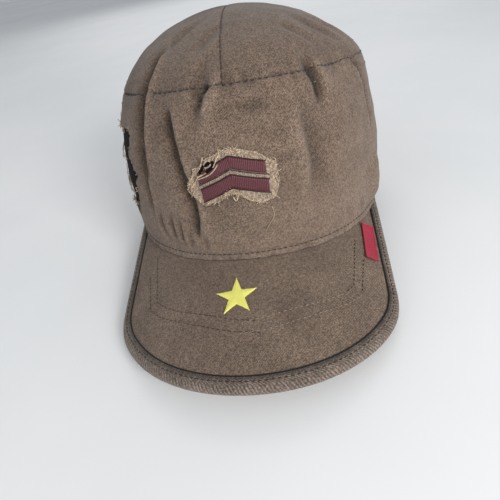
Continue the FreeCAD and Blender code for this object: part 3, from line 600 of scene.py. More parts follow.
press(on_crown(BROW_DENT), 4 * MM, 0.9 * MM, shoulder=0.4, fade=0.4)
for run in TOP_RUNS + TOP_LEFT_RUNS:
    press(on_crown(run), 2.8 * MM, 1.0 * MM, shoulder=0.6, fade=0.35, worn_and_shaded=0.5)
for pucker in HEM_PUCKERS:
    press(on_crown(pucker), 1.7 * MM, 1.3 * MM, shoulder=0.6, fade=0.4)
for pucker in CORNER_PUCKERS:
    press(on_crown(pucker), 2 * MM, 0.9 * MM, shoulder=0.6, fade=0.4)

# %% [markdown]
# Folds that the photograph hides
#
# The back and the far side hang in softer folds of the same kind. They are placed by angle, from the
# front round to the wearer's left, and by height, with a little chance in both.

# %% Folds at the back
def crown_spot(turn, height):
    """A point of the sheet by its angle from the front in degrees and its height as a share."""
    across = turn / 360 + 0.5
    return Vector(crown_place(across, height * SEAM_SHARE))


BACK_FOLDS = [(118, 0.95, 0.35, 6), (136, 0.9, 0.5, -7), (158, 1.0, 0.55, 5), (186, 0.95, 0.6, -4), (205, 0.9, 0.5, 6),
              (226, 0.98, 0.42, -6), (244, 0.9, 0.2, 5), (96, 0.85, 0.25, -5), (150, 0.42, 0.12, 5), (212, 0.45, 0.14, -5)]
for turn, top, foot, drift in BACK_FOLDS:
    folded = (turn + 180) % 360 - 180
    line = [crown_spot(folded + drift * share + chance.uniform(-1, 1), top + (foot - top) * share)
            for share in (0, 0.25, 0.5, 0.75, 1)]
    press(line, chance.uniform(2.6, 3.8) * MM, chance.uniform(1.4, 2.4) * MM, shoulder=0.55, fade=0.35)

# %% Seams and small creases
GROOVE = 0.9 * MM
HEM_ROW = 4.2 * MM / SEAM_HEIGHT * SEAM_SHARE


def groove(line, width, depth):
    distance, _, _ = along_line(crown_points, line)
    dip = np.exp(-(distance / width) ** 2)
    crown_points[:] = crown_points - crown_out * (depth * dip)[:, None]
    # Shade is painted darker into the seam's groove.
    crown_wear_and_shade[:] -= 0.12 * dip


def quilt(line, reach, pitch, height):
    """Small puckers across a seam, dying away within reach of it."""
    distance, _, share = along_line(crown_points, line)
    near = np.exp(-(distance / reach) ** 2)
    waves = np.array([wander((spot * pitch, 0.3, 0.7), 1.0) for spot in share])
    crown_points[:] = crown_points + crown_out * (near * waves * height)[:, None]
    # Raised puckers are kept paler as rubbing, and shade is painted into the sunken ones.
    crown_wear_and_shade[:] += 0.5 * near * waves


whole_seam = seam_line(0, 1, 200)
groove(whole_seam, GROOVE, 0.8 * MM)
quilt(whole_seam, 5 * MM, 150, 0.8 * MM)
front_to_back = [Vector(crown_place(0.5, SEAM_SHARE + (1 - SEAM_SHARE) * step / 30)) for step in range(31)]
front_to_back += [Vector(crown_place(0.0, 1 - (1 - SEAM_SHARE) * step / 30)) for step in range(1, 31)]
groove(front_to_back, 0.8 * MM, 0.35 * MM)
for side in (SIDE_SEAM, -SIDE_SEAM, 180):
    upright = [crown_spot(side, step / 20) for step in range(21)]
    groove(upright, GROOVE, 0.8 * MM)
    quilt(upright, 4 * MM, 30, 0.5 * MM)

hem_edge = [Vector(crown_place(step / 300, 0.002)) for step in range(301)]
hem_strip = [Vector(crown_place(step / 300, HEM_ROW)) for step in range(301)]
groove(hem_strip, 1.0 * MM, 0.45 * MM)
quilt(hem_edge, 4.5 * MM, 210, 0.7 * MM)
near_hem = along_line(crown_points, hem_edge)[0]
crown_wear_and_shade += 0.16 * np.exp(-(near_hem / (2.6 * MM)) ** 2)

creases = np.array([wander(point, 17 * MM, 2) + 0.5 * wander(point, 7 * MM, 3) for point in crown_points])
from_hem = np.clip(crown_points[:, 2] / (12 * MM), 0, 1)
crown_points += crown_out * (creases * 0.55 * MM * from_hem)[:, None]
# Raised creases are kept paler as rubbing, and shade is painted into the sunken ones.
crown_wear_and_shade += 0.12 * creases
# The lower front is made paler and the top of the crown darker.
crown_wear_and_shade += 0.28 * np.clip((46 * MM - crown_points[:, 2]) / (30 * MM), 0, 1) * (crown_points[:, 1] < 0)
crown_wear_and_shade -= 0.14 * np.clip((crown_points[:, 2] - 84 * MM) / (8 * MM), 0, 1)
print("wear from", round(crown_wear_and_shade.min(), 2), "to", round(crown_wear_and_shade.max(), 2))

# %% Put the folds on the sheet
move_points(crown_sheet, crown_points)
# The attribute holds rubbing where it is above zero and mostly painted shade where it is below.
attribute = crown_sheet.data.attributes.new("wear_and_shade", "FLOAT", "POINT")
attribute.data.foreach_set("value", np.clip(crown_wear_and_shade, -0.85, 0.6).astype(np.float32))
apply(crown_sheet, "SMOOTH", factor=0.5, iterations=1)
crown_points = points_of(crown_sheet)
crown_out = normals_of(crown_sheet)
crown_tree = tree_of(crown_sheet)

# %% [markdown]
# Cutting the panels
#
# Every face knows its share round and up the sheet from the grid's own UV map, so a panel is a copy of
# the sheet with all other faces deleted. The hole of the tear and the opening at the back go the same
# way. The sheet's UV is in metres, so it is divided by the sheet's size first.

# %% Panel shares
def face_shares():
    """Each face's middle as shares round and up the crown's sheet."""
    mesh = crown_sheet.data
    flat = np.zeros(len(mesh.loops) * 2)
    mesh.uv_layers.active.data.foreach_get("uv", flat)
    flat = flat.reshape(-1, 2) / flat.reshape(-1, 2).max(0)
    return np.array([flat[list(face.loop_indices)].mean(0) for face in mesh.polygons])


shares = face_shares()
face_turn = (shares[:, 0] - 0.5) * 360
face_up = shares[:, 1]
middles = np.array([face.center for face in crown_sheet.data.polygons])
in_wall = face_up < SEAM_SHARE
in_front = in_wall & (np.abs(face_turn) < SIDE_SEAM)

TEAR_TURN = math.radians(67)
TEAR_MIDDLE = Vector((0, -HALF_LENGTH * math.cos(TEAR_TURN), 45 * MM))
TEAR_HALF = (26 * MM, 28 * MM)
TEAR = [(-0.72, -0.96), (-0.28, -0.80), (0.34, -1.0), (0.80, -0.62), (0.70, -0.16), (1.0, 0.24), (0.76, 0.78),
        (0.22, 1.0), (-0.40, 1.0), (-1.14, 0.94), (-1.0, 0.52), (-1.26, 0.06), (-1.08, -0.5)]


def inside(outline, x, y):
    """Whether a point lies in a closed outline."""
    odd = False
    for (x1, y1), (x2, y2) in zip(outline, outline[1:] + outline[:1]):
        if (y1 > y) != (y2 > y) and x < (x2 - x1) * (y - y1) / (y2 - y1) + x1:
            odd = not odd
    return odd


def in_tear(point, grow=0.0):
    ragged = 0.09 * wander(point, 4 * MM, 5)
    along = (point[1] - TEAR_MIDDLE.y) / (TEAR_HALF[0] + grow) * (1 + ragged)
    up = (point[2] - TEAR_MIDDLE.z) / (TEAR_HALF[1] + grow) * (1 + ragged)
    return point[0] < 0 and inside(TEAR, along, up)


OPENING_HALF = 35 * MM
OPENING_SPRING = 1 * MM


def in_opening(point, grow=0.0):
    if point[1] < 0:
        return False
    return math.hypot(point[0], max(point[2] - OPENING_SPRING, 0)) < OPENING_HALF + grow


torn = np.array([in_tear(point) for point in middles])
open_back = np.array([in_opening(point) for point in middles])


def layer(name, kept, inset, cloth, finish, slot, *nodes):
    """A panel cut from the crown's sheet, drawn in by inset and given its thickness."""
    piece = copy_of(crown_sheet, name)
    move_points(piece, crown_points - crown_out * inset)
    keep_faces(piece, kept)
    thicken(piece, cloth)
    return dye(piece, finish, slot, "cap", *nodes)


layer("front_cloth", in_front & ~torn, 0, WALL, crown_twill, "crown_cloth", "front_panel")
layer("back_left_cloth", in_wall & ~in_front & (face_turn > 0) & ~open_back, 0, WALL, crown_twill, "crown_cloth",
      "back_panel_left")
layer("back_right_cloth", in_wall & ~in_front & (face_turn < 0) & ~open_back, 0, WALL, crown_twill, "crown_cloth",
      "back_panel_right")
layer("top_left_cloth", ~in_wall & (face_turn > 0), 0, WALL, crown_twill, "crown_cloth", "top_panel_left")
layer("top_right_cloth", ~in_wall & (face_turn < 0), 0, WALL, crown_twill, "crown_cloth", "top_panel_right")

# %% Layers inside the crown
TAPE = 0.6 * MM
TAPE_SHARE = 8 * MM / SEAM_HEIGHT * SEAM_SHARE
layer("crown_tape", in_wall & (face_up > SEAM_SHARE - TAPE_SHARE), WALL + 0.1 * MM, TAPE, tape_cotton, "tape_cloth",
      "crown_seam_tape")
layer("centre_tape", ~in_wall & (np.abs(middles[:, 0]) < 4 * MM), WALL + 0.1 * MM, TAPE, tape_cotton, "tape_cloth",
      "centre_seam_tape")
behind = np.array([in_tear(point, 5 * MM) for point in middles])
layer("black_lining", behind & in_front, WALL + 0.3 * MM, 0.8 * MM, black_cotton, "black_cloth", "torn_underlay")

# %% [markdown]
# The visor
#
# The visor's outline is a wide arc at the lip, a tighter arc at each corner and a straight run back to
# the hem. The upper cloth is a grid between the crown's foot and that outline, laid on the arched
# surface. The binding is a strip folded round the edge, so its grid runs from the line on top, round
# the rim, to the line beneath.

# %% Visor outline
END = (HALF_WIDTH * math.sin(VISOR_ANGLE), -HALF_LENGTH * math.cos(VISOR_ANGLE))
LIP_Y = -HALF_LENGTH - VISOR_REACH * math.cos(VISOR_SLOPE)


def visor_rim(inset=0.0, shy=0.0, count=300):
    """Points round the visor's outline, drawn in by inset and by shy more at the lip."""
    lip = Vector((0, LIP_Y + LIP_RADIUS + shy))
    across = CORNER_HALF - CORNER_RADIUS
    bend = Vector((across, lip.y - math.sqrt((LIP_RADIUS - CORNER_RADIUS) ** 2 - across ** 2)))
    end = Vector((END[0] - inset, END[1]))
    radius = CORNER_RADIUS - inset
    away = end - bend
    touch = math.atan2(away.y, away.x) - math.acos(radius / away.length)
    change = math.atan2(bend.y - lip.y, bend.x)
    half = [lip + (LIP_RADIUS - inset) * Vector((math.cos(a), math.sin(a))) for a in np.linspace(-math.pi / 2, change, 60)]
    half += [bend + radius * Vector((math.cos(a), math.sin(a))) for a in np.linspace(change, touch, 60)[1:]]
    half += [end]
    whole = np.array([(-p.x, p.y) for p in reversed(half[1:])] + [(p.x, p.y) for p in half])
    gone = np.concatenate(([0], np.cumsum(np.linalg.norm(np.diff(whole, axis=0), axis=1))))
    even = np.linspace(0, gone[-1], count + 1)
    return np.stack([np.interp(even, gone, whole[:, 0]), np.interp(even, gone, whole[:, 1])], axis=1)


def along(rim, share):
    """A point of an evenly spaced outline by its share."""
    place = share * (len(rim) - 1)
    low = min(int(place), len(rim) - 2)
    return rim[low] + (rim[low + 1] - rim[low]) * (place - low)


outer_rim = visor_rim()
cloth_rim = visor_rim(1.2 * MM)
binding_line = visor_rim(BINDING_WIDTH, BINDING_FRONT)


def visor_root(share, inset):
    turn = (2 * share - 1) * VISOR_ANGLE
    return np.array(((HALF_WIDTH - inset) * math.sin(turn), -(HALF_LENGTH - inset) * math.cos(turn)))


# %% Visor cloth
def top_place(across, up):
    root, rim = visor_root(across, 1.0 * MM), along(cloth_rim, across)
    x, y = root + (rim - root) * up
    ripple = 0.4 * MM * wander((x, y, 0), 26 * MM, 4) + 0.12 * MM * wander((x, y, 0), 6 * MM, 6)
    return x, y, visor_height(x, y, 0.15 * MM) + ripple * math.sin(math.pi * up) ** 0.5


def on_top(x, y, raised):
    """A point over the visor's own rippled cloth."""
    spot = visor_tree.ray_cast(Vector((x, y, 0.2)), Vector((0, 0, -1)))[0]
    height = spot.z if spot else visor_height(x, y)
    return Vector((x, y, height + raised))


visor_sheet = woven("visor_cloth", 260, 110, top_place)
lay_grain(visor_sheet, points_of(visor_sheet)[:, :2])
visor_tree = tree_of(visor_sheet)
wear_and_shade = [0.25 * wander(vertex.co, 20 * MM, 8) for vertex in visor_sheet.data.vertices]
visor_sheet.data.attributes.new("wear_and_shade", "FLOAT", "POINT").data.foreach_set("value", wear_and_shade)
thicken(visor_sheet, 0.8 * MM, offset=1)
print("visor cloth:", len(visor_sheet.data.polygons), "faces")

FLANGE_HEIGHT = 8 * MM


def under_place(across, up):
    """From the flange's top inside the crown, down to the visor's foot, and out to the rim."""
    turned = 0.12
    root, rim = visor_root(across, 2.0 * MM), along(cloth_rim, across)
    if up < turned:
        foot = visor_height(*root, -VISOR_THICKNESS)
        return root[0], root[1], FLANGE_HEIGHT + (foot - FLANGE_HEIGHT) * up / turned
    x, y = root + (rim - root) * (up - turned) / (1 - turned)
    return x, y, visor_height(x, y, -VISOR_THICKNESS)


under_sheet = woven("visor_under_cloth", 200, 70, under_place)
thicken(under_sheet, 0.8 * MM, offset=1)

# %% Binding and cord
RIM_HALF = VISOR_THICKNESS / 2 + 0.8 * MM
RIM_CENTRE = visor_rim(RIM_HALF - 0.2 * MM)


def binding_place(across, up):
    inner = along(binding_line, across)
    middle = along(RIM_CENTRE, across)
    outside = along(outer_rim, across) - middle
    outside = outside / np.linalg.norm(outside)
    top, round_edge = 0.42, 0.24
    pucker = 0.16 * MM * math.sin(across * 2 * math.pi * 120 + 2 * wander((across * 40, 0, 0), 1.0, 9))
    if up < top:
        share = up / top
        x, y = inner + (middle - inner) * share
        crown = 0.45 * MM * math.sin(math.pi * min(share * 1.15, 1)) + pucker * math.sin(math.pi * share)
        return x, y, visor_height(x, y, 0.8 * MM) + crown
    if up < top + round_edge:
        turn = math.pi * (0.5 - (up - top) / round_edge)
        x, y = middle + outside * RIM_HALF * math.cos(turn)
        z = visor_height(*middle) - VISOR_THICKNESS / 2
        return x, y, z + RIM_HALF * 1.02 * math.sin(turn)
    share = (up - top - round_edge) / (1 - top - round_edge)
    x, y = middle + (inner - middle) * share
    return x, y, visor_height(x, y, -VISOR_THICKNESS - 0.8 * MM) - pucker * math.sin(math.pi * share)


binding = woven("visor_edge_binding", 420, 44, binding_place)
low_spots = points_of(binding)
# The binding's rolled edge is kept paler as rubbing, and shade is painted darker along its inner edge beside the cord.
rubbed = [0.3 * math.exp(-((up - 0.46) / 0.12) ** 2) + 0.25 * wander(spot, 9 * MM, 3)
          - 0.5 * math.exp(-((up - 0.1) / 0.1) ** 2)
          for spot, up in zip(low_spots, np.repeat(np.linspace(0, 1, 45), 421))]
binding.data.attributes.new("wear_and_shade", "FLOAT", "POINT").data.foreach_set("value", np.clip(rubbed, -0.9, 0.7))
thicken(binding, 0.6 * MM, offset=1)

PIPING = 0.95 * MM


def tube_place(centre_line, radius, raise_by):
    """Lay a grid as a tube along points of the visor."""
    def place(across, up):
        x, y = along(centre_line, across)
        x2, y2 = along(centre_line, min(across + 0.004, 1)) - along(centre_line, max(across - 0.004, 0))
        way = Vector((x2, y2, 0)).normalized()
        out = Vector((way.y, -way.x, 0))
        turn = -2 * math.pi * up
        z = visor_height(x, y, raise_by) + radius * math.cos(turn)
        return x + out.x * radius * math.sin(turn), y + out.y * radius * math.sin(turn), z
    return place


cord_line = visor_rim(BINDING_WIDTH + 0.5 * PIPING, BINDING_FRONT)
cord = woven("visor_cord", 360, 10, tube_place(cord_line, PIPING * 0.48, 0.35 * MM), closed=True)

dye(visor_sheet, visor_twill, "visor_cloth", "cap", "visor_top_cover")
dye(under_sheet, visor_twill, "visor_cloth", "cap", "visor_under_cover")
dye(binding, edge_twill, "visor_cloth", "cap", "visor_binding")
dye(cord, cord_black, "piping_cord", "cap", "visor_piping")

# %% [markdown]
# Sewing
#
# One stitch is a small capsule. An Array modifier repeats it along the row and a Curve modifier bends
# the row over the cloth, so a row of three hundred stitches is one short call. The row's points lie on
# the sculpted cloth, raised by half a thread.

# %% Sewing helper
def sew(name, line, step, long, thick, finish, slot="crown_cloth", sink=0.1):
    """A row of single stitches along a line of points in the cap's frame."""
    path = bpy.data.curves.new(f"{name}_path", "CURVE")
    path.dimensions = "3D"
    spline = path.splines.new("POLY")
    spline.points.add(len(line) - 1)
    for point, spot in zip(spline.points, line):
        point.co = (*spot, 1)
    row = bpy.data.objects.new(f"{name}_path", path)
    bpy.context.scene.collection.objects.link(row)
    bpy.ops.object.select_all(action="DESELECT")
    bpy.ops.mesh.primitive_uv_sphere_add(segments=6, ring_count=5, radius=0.5)
    stitch = bpy.context.object
    stitch.name = name
    stitch.rotation_euler = (0, math.pi / 2, 0)
    bpy.ops.object.transform_apply(location=False, rotation=True, scale=False)
    stitch.scale = (long, thick, thick)
    stitch.location = (long / 2, 0, 0)
    bpy.ops.object.transform_apply(location=True, rotation=True, scale=True)
    bpy.ops.object.shade_smooth()
    apply(stitch, "ARRAY", fit_type="FIT_CURVE", curve=row, use_relative_offset=False, use_constant_offset=True,
          constant_offset_displace=(step, 0, 0))
    apply(stitch, "CURVE", object=row, deform_axis="POS_X")
    bpy.data.objects.remove(row)
    return dye(stitch, finish, slot)


# %% [markdown]
# Rows on the crown
#
# The crown seam has a dark row in its groove and a faint row on each side, the top's middle seam one
# dark row, and the hem one row a finger's breadth above its edge.

# %% Crown rows
def crown_row(up, start=0.0, stop=1.0, raised=0.15 * MM, count=400):
    """Points of the sculpted crown along one height share."""
    line = []
    for step in range(count + 1):
        spot = Vector(crown_place(start + (stop - start) * step / count, up))
        near, out, _, _ = crown_tree.find_nearest(spot)
        line.append(near + out * raised)
    return line


ROW_GAP = 5.5 * MM / SEAM_HEIGHT * SEAM_SHARE
sew("seam_row", crown_row(SEAM_SHARE, raised=0.2 * MM), 3.4 * MM, 2.1 * MM, 0.5 * MM, seam_thread)
sew("row_under_seam", crown_row(SEAM_SHARE - ROW_GAP), 3.0 * MM, 2.0 * MM, 0.45 * MM, worn_thread)
sew("row_over_seam", crown_row(SEAM_SHARE + 1.1 * ROW_GAP), 3.0 * MM, 2.0 * MM, 0.45 * MM, worn_thread)
sew("hem_row_front", crown_row(HEM_ROW, 0.13, 0.87), 3.2 * MM, 2.3 * MM, 0.55 * MM, seam_thread)


def top_column(across, count=80):
    line = []
    for step in range(count + 1):
        spot = Vector(crown_place(across, SEAM_SHARE + (0.995 - SEAM_SHARE) * step / count))
        near, out, _, _ = crown_tree.find_nearest(spot)
        line.append(near + out * 0.1 * MM)
    return line


sew("centre_row_front", top_column(0.5), 3.4 * MM, 2.0 * MM, 0.42 * MM, seam_thread)
sew("centre_row_back", top_column(0.0), 3.4 * MM, 2.0 * MM, 0.42 * MM, seam_thread)
for side, label in ((SIDE_SEAM - 3, "left"), (3 - SIDE_SEAM, "right")):
    spots = [crown_tree.find_nearest(crown_spot(side, 0.04 + 0.93 * step / 60)) for step in range(61)]
    sew(f"side_row_{label}", [near + out * 0.15 * MM for near, out, _, _ in spots], 3.2 * MM, 2.3 * MM, 0.5 * MM, seam_thread)

# %% [markdown]
# Rows on the visor
#
# Two rows follow each other round the visor in a wide U. The near side is worn pale, and the far side
# still has its dark thread. Another row holds the binding, just outside the dark cord.

# %% Visor rows
INNER_ROW = [(355, 240), (354.5, 262), (354, 286), (344, 294), (325, 301), (300.6, 307), (288.5, 310), (267, 317), (243, 322)]
OUTER_ROW = [(363.6, 260), (363, 280), (362.4, 295), (349, 303.6), (331, 309.7), (312.7, 315.8), (295.8, 320.6),
             (282.4, 325), (264, 330), (238, 334.5)]


def on_visor(pixels, raised=0.25 * MM):
    spots = [shoot(visor_tree, pixel) for pixel in pixels]
    return [spot + Vector((0, 0, raised)) for spot, _ in spots if spot is not None]


def dense(line, gap=2.5 * MM):
    """More points on a line, laid back on the visor."""
    full = []
    for a, b in zip(line, line[1:]):
        steps = max(1, int((b - a).length / gap))
        full += [a.lerp(b, step / steps) for step in range(steps)]
    full.append(line[-1])
    return [on_top(x, y, 0.22 * MM) for x, y, _ in full]


def over(line):
    """The same row on the other side of the visor."""
    return [on_top(-x, y, 0.22 * MM) for x, y, _ in reversed(line)]


inner_row, outer_row = dense(on_visor(INNER_ROW)), dense(on_visor(OUTER_ROW))
for label, row in (("inner", inner_row), ("outer", outer_row)):
    corner = max(range(len(row)), key=lambda index: row[index].x - row[index].y)
    sew(f"{label}_side_row", row[:corner], 3.0 * MM, 1.9 * MM, 0.5 * MM, seam_thread, "visor_cloth")
    sew(f"{label}_pale_row", row[corner:], 3.0 * MM, 1.9 * MM, 0.45 * MM, tan_thread, "visor_cloth")
    sew(f"{label}_far_row", over(row), 3.0 * MM, 1.9 * MM, 0.4 * MM, seam_thread, "visor_cloth")
binding_row = visor_rim(BINDING_WIDTH - 2.0 * MM, BINDING_FRONT - 0.4 * MM)
sew("binding_row", [Vector((x, y, visor_height(x, y, 0.8 * MM) + 0.42 * MM)) for x, y in binding_row], 3.0 * MM, 2.1 * MM,
    0.6 * MM, seam_thread, "visor_cloth")

# %% [markdown]
# The star
#
# A satin-stitched star is a flat star whose threads build up along the middle of each arm. It starts
# as a filled circle of ten corners, every second one drawn in, is raised in the middle and subdivided.
# Its UV runs along and across each arm, so the threads of the material cross the arm.

# %% Star
STAR_MIDDLE = (-7 * MM, -123 * MM)
STAR_RADIUS = 11.6 * MM
STAR_TURN = math.radians(2)
STAR_DRAWN_IN = 0.40

bpy.ops.object.select_all(action="DESELECT")
bpy.ops.mesh.primitive_circle_add(vertices=10, radius=1, fill_type="TRIFAN")
star = bpy.context.object
star.name = "star_stitching"
flat = points_of(star)
for index, (x, y, _) in enumerate(flat):
    size = math.hypot(x, y)
    if size > 0.5:
        corner = round((math.atan2(y, x) - math.pi / 2) / (math.pi / 5))
        turn = math.pi / 2 + corner * math.pi / 5 + STAR_TURN
        reach = 1 if corner % 2 == 0 else STAR_DRAWN_IN
        flat[index] = (reach * math.cos(turn), reach * math.sin(turn), 0)
move_points(star, flat)
apply(star, "SUBSURF", subdivision_type="SIMPLE", levels=5, render_levels=5)
flat = points_of(star)
grain = np.zeros((len(flat), 2))
laid = np.zeros_like(flat)
for index, (x, y, _) in enumerate(flat):
    turn = math.atan2(y, x) - math.pi / 2 - STAR_TURN
    arm = round(turn / (2 * math.pi / 5)) * 2 * math.pi / 5
    size = math.hypot(x, y)
    up, side = size * math.cos(turn - arm), size * math.sin(turn - arm)
    edge = max(1 - up, 0) * STAR_DRAWN_IN * math.sin(math.pi / 5) / (1 - STAR_DRAWN_IN * math.cos(math.pi / 5)) + 0.001
    ridge = max(1 - abs(side) / edge, 0)
    ragged = 1 + 0.05 * wander((x * 14, y * 14, 0), 1.0, 2) * (1 - ridge)
    px = STAR_MIDDLE[0] + x * STAR_RADIUS * ragged
    py = STAR_MIDDLE[1] + y * STAR_RADIUS * ragged
    laid[index] = on_top(px, py, 0.35 * MM + 0.5 * MM * ridge ** 0.4 + 0.08 * MM * wander((x, y, 0), 0.06, 3))
    grain[index] = (STAR_RADIUS * (up + 0.5 * abs(side)), STAR_RADIUS * side)
move_points(star, laid)
lay_grain(star, grain)
alone(star)
bpy.ops.object.shade_smooth()
thicken(star, 0.5 * MM, offset=-1)
dye(star, star_silk, "yellow_thread", "cap", "star_embroidery")

# %% [markdown]
# The patch
#
# A cut piece of twill with a frayed edge carries two embroidered bars. It is a fine grid shot onto the
# sculpted crown, trimmed along a ragged outline. The bars are grids of their own, thickest in their
# middle, with a dark outline row along each long edge. The frayed edge is hundreds of short threads.

# %% Patch ground
PATCH_OUTLINE = [(-26.0, 47.5), (-20.5, 55.5), (-12.5, 61.2), (-1.2, 65.6), (11.6, 61.6), (20.8, 55.0), (21.6, 45.5),
                 (19.4, 37.4), (11.5, 35.0), (4.2, 39.0), (-2.9, 42.4), (-10.5, 38.5), (-18.8, 36.8), (-22.5, 41.5)]
PATCH_OUTLINE = [(x * MM, z * MM) for x, z in PATCH_OUTLINE]
FRONT = -0.2


def on_front(x, z, raised):
    """A point on the crown's front, straight behind a point of the picture plane."""
    spot, out, _, _ = crown_tree.ray_cast(Vector((x, FRONT, z)), Vector((0, 1, 0)))
    return spot + out * raised


def patch_place(across, up):
    x, z = (-28 + 52 * across) * MM, (33 + 35 * up) * MM
    return on_front(x, z, 0.55 * MM + 0.25 * MM * wander((x, 0, z), 3 * MM, 12))


patch = woven("patch_cloth", 150, 100, patch_place)


def ragged_inside(outline, x, z, amount, seed):
    wave = 1 + amount * wander((x, z, 0), 1.6 * MM, seed)
    return inside(outline, x * wave, z)


patch_faces = [ragged_inside(PATCH_OUTLINE, face.center.x, face.center.z, 0.0, 3) for face in patch.data.polygons]
keep_faces(patch, patch_faces)


def edge_gap(x, z):
    """The distance of a point of the patch from its outline."""
    best = 1.0
    for (x1, z1), (x2, z2) in zip(PATCH_OUTLINE, PATCH_OUTLINE[1:] + PATCH_OUTLINE[:1]):
        way = Vector((x2 - x1, z2 - z1))
        share = max(0, min(1, (Vector((x - x1, z - z1)) @ way) / way.length_squared))
        best = min(best, math.hypot(x - x1 - way.x * share, z - z1 - way.y * share))
    return best


pale_edge = [0.95 - 0.95 * min(edge_gap(vertex.co.x, vertex.co.z) / (3.4 * MM), 1)
             + 0.2 * wander(vertex.co, 1.2 * MM, 4) for vertex in patch.data.vertices]
patch.data.attributes.new("wear_and_shade", "FLOAT", "POINT").data.foreach_set("value", np.clip(pale_edge, -0.4, 1))
thicken(patch, 0.6 * MM, offset=0)

# %% Chevron bars
PEAK_X = -1.5
BAR_DROP = (0.43, 0.30)


def bar_place(top, thick, left, right, raised, sag=0.0):
    """A bar bent to a peak; its left half drops faster than its right half, as the photograph shows."""
    def place(across, up):
        x = left + (right - left) * across
        away = x - PEAK_X
        fall = BAR_DROP[0] * -away if away < 0 else BAR_DROP[1] * away
        z = top - thick * (1 - up) - fall * (1 - 0.06 * abs(away) / 17)
        rim = min(1, min(up, 1 - up) * 7, min(across, 1 - across) * 26)
        return on_front(x * MM, z * MM, raised * (0.55 + 0.45 * math.sqrt(max(rim, 0))) - sag)
    return place


def chevron(name, top, thick, left, right, node):
    bar = woven(name, 120, 26, bar_place(top, thick, left, right, 1.75 * MM))
    shares = [(vertex.co.x - PEAK_X * MM, vertex.co.z) for vertex in bar.data.vertices]
    slant = [(x + (0.43 if x < 0 else -0.3) * z * 0.3, z) for x, z in shares]
    lay_grain(bar, slant)
    thicken(bar, 0.9 * MM)
    return dye(bar, chevron_silk, "dark_red_thread", "cap", node)


chevron("upper_chevron", 61.4, 6.2, -18.6, 15.8, "chevron_upper")
chevron("lower_chevron", 52.6, 7.0, -18.2, 16.4, "chevron_lower")


def outline_row(name, top, left, right):
    """A dark thread along one long edge of a bar."""
    line = []
    for step in range(61):
        x = left + (right - left) * step / 60
        away = x - PEAK_X
        fall = BAR_DROP[0] * -away if away < 0 else BAR_DROP[1] * away
        line.append(on_front(x * MM, (top - fall * (1 - 0.06 * abs(away) / 17)) * MM, 1.7 * MM))
    sew(name, line, 0.62 * MM, 0.9 * MM, 0.6 * MM, outline_silk_thread, "dark_red_thread")


outline_silk_thread = spun("dark outline thread", shade(50, 24, 26), shade(28, 12, 14))
outline_row("upper_bar_top_edge", 61.6, -9.0, 15.8)
outline_row("upper_bar_low_edge", 54.9, -18.6, 16.2)
outline_row("lower_bar_top_edge", 52.7, -18.0, 16.4)
outline_row("lower_bar_low_edge", 45.6, -18.2, 16.6)

# %% [markdown]
# Frayed threads
#
# Where cloth is cut and washed, its weave comes apart into loose threads. Each is a thin curve with its
# own bend, all in one curve object that is turned into a mesh. A fixed seed gives the same threads on
# every run.

# %% Thread helper
def fray(name, lines, thick, finish, slot):
    """Many loose threads: each line is a few points in the cap's frame."""
    tangle = bpy.data.curves.new(name, "CURVE")
    tangle.dimensions = "3D"
    tangle.bevel_depth = thick / 2
    tangle.bevel_resolution = 0
    tangle.resolution_u = 3
    tangle.use_fill_caps = True
    for line in lines:
        spline = tangle.splines.new("NURBS")
        spline.points.add(len(line) - 1)
        for point, spot in zip(spline.points, line):
            point.co = (*spot, 1)
        spline.order_u = 3
        spline.use_endpoint_u = True
    piece = bpy.data.objects.new(name, tangle)
    bpy.context.scene.collection.objects.link(piece)
    alone(piece)
    bpy.ops.object.convert(target="MESH")
    piece = bpy.context.object
    bpy.ops.object.shade_smooth()
    return dye(piece, finish, slot)


def curl(start, way, out, long, wild):
    """A short curling thread from a point: it runs along way and lifts along out."""
    side = way.cross(out).normalized()
    line = [start]
    spot, heading = start.copy(), way.copy()
    for step in range(4):
        heading = (heading + side * chance.uniform(-wild, wild) + out * chance.uniform(-0.5, 0.6) * wild).normalized()
        spot = spot + heading * long / 4
        line.append(spot.copy())
    return line


# %% Fray round the patch
patch_threads = []
corners = list(zip(PATCH_OUTLINE, PATCH_OUTLINE[1:] + PATCH_OUTLINE[:1]))
for (x1, z1), (x2, z2) in corners:
    run = math.hypot(x2 - x1, z2 - z1)
    for step in range(int(run / (0.22 * MM))):
        share = chance.random()
        x, z = x1 + (x2 - x1) * share, z1 + (z2 - z1) * share
        inward = Vector((-2.6 * MM - x, 0, 50 * MM - z)).normalized()
        runs = Vector((x2 - x1, 0, z2 - z1)).normalized()
        deep = chance.uniform(0, 3.2) * MM
        start = on_front(x + inward.x * deep, z + inward.z * deep, chance.uniform(0.7, 1.2) * MM)
        lean = chance.choice((-1, 1)) * runs * chance.uniform(0.5, 1.8) - inward * chance.uniform(-0.8, 0.6)
        patch_threads.append(curl(start, lean.normalized(), Vector((0, -1, 0)), chance.uniform(0.9, 2.6) * MM, 1.1))
fray("patch_fray", patch_threads, 0.45 * MM, fray_thread, "patch_cloth")

loops = [[(198, 176), (206, 172), (213, 167), (216, 160), (217, 156)], [(199, 178), (208, 175), (215, 169), (218, 163)],
         [(206, 160), (203, 165), (207, 167), (212, 163), (209, 158), (205, 161)], [(200, 168), (202, 162), (203, 156)],
         [(192, 186), (196, 182), (199, 175)], [(234, 195), (235, 199), (238, 199), (238, 195)]]
long_threads = [[shoot(crown_tree, pixel)[0] + Vector((0, -2.2 * MM, 0)) for pixel in loop] for loop in loops]
fray("patch_loops", long_threads, 0.7 * MM, fray_thread, "patch_cloth")
stray = [(272, 206), (275, 212), (273, 219), (269, 224), (266, 231)]
fray("stray_thread", [[shoot(crown_tree, pixel)[0] + Vector((0, -0.5 * MM, 0)) for pixel in stray]], 0.35 * MM, fray_thread,
     "patch_cloth")

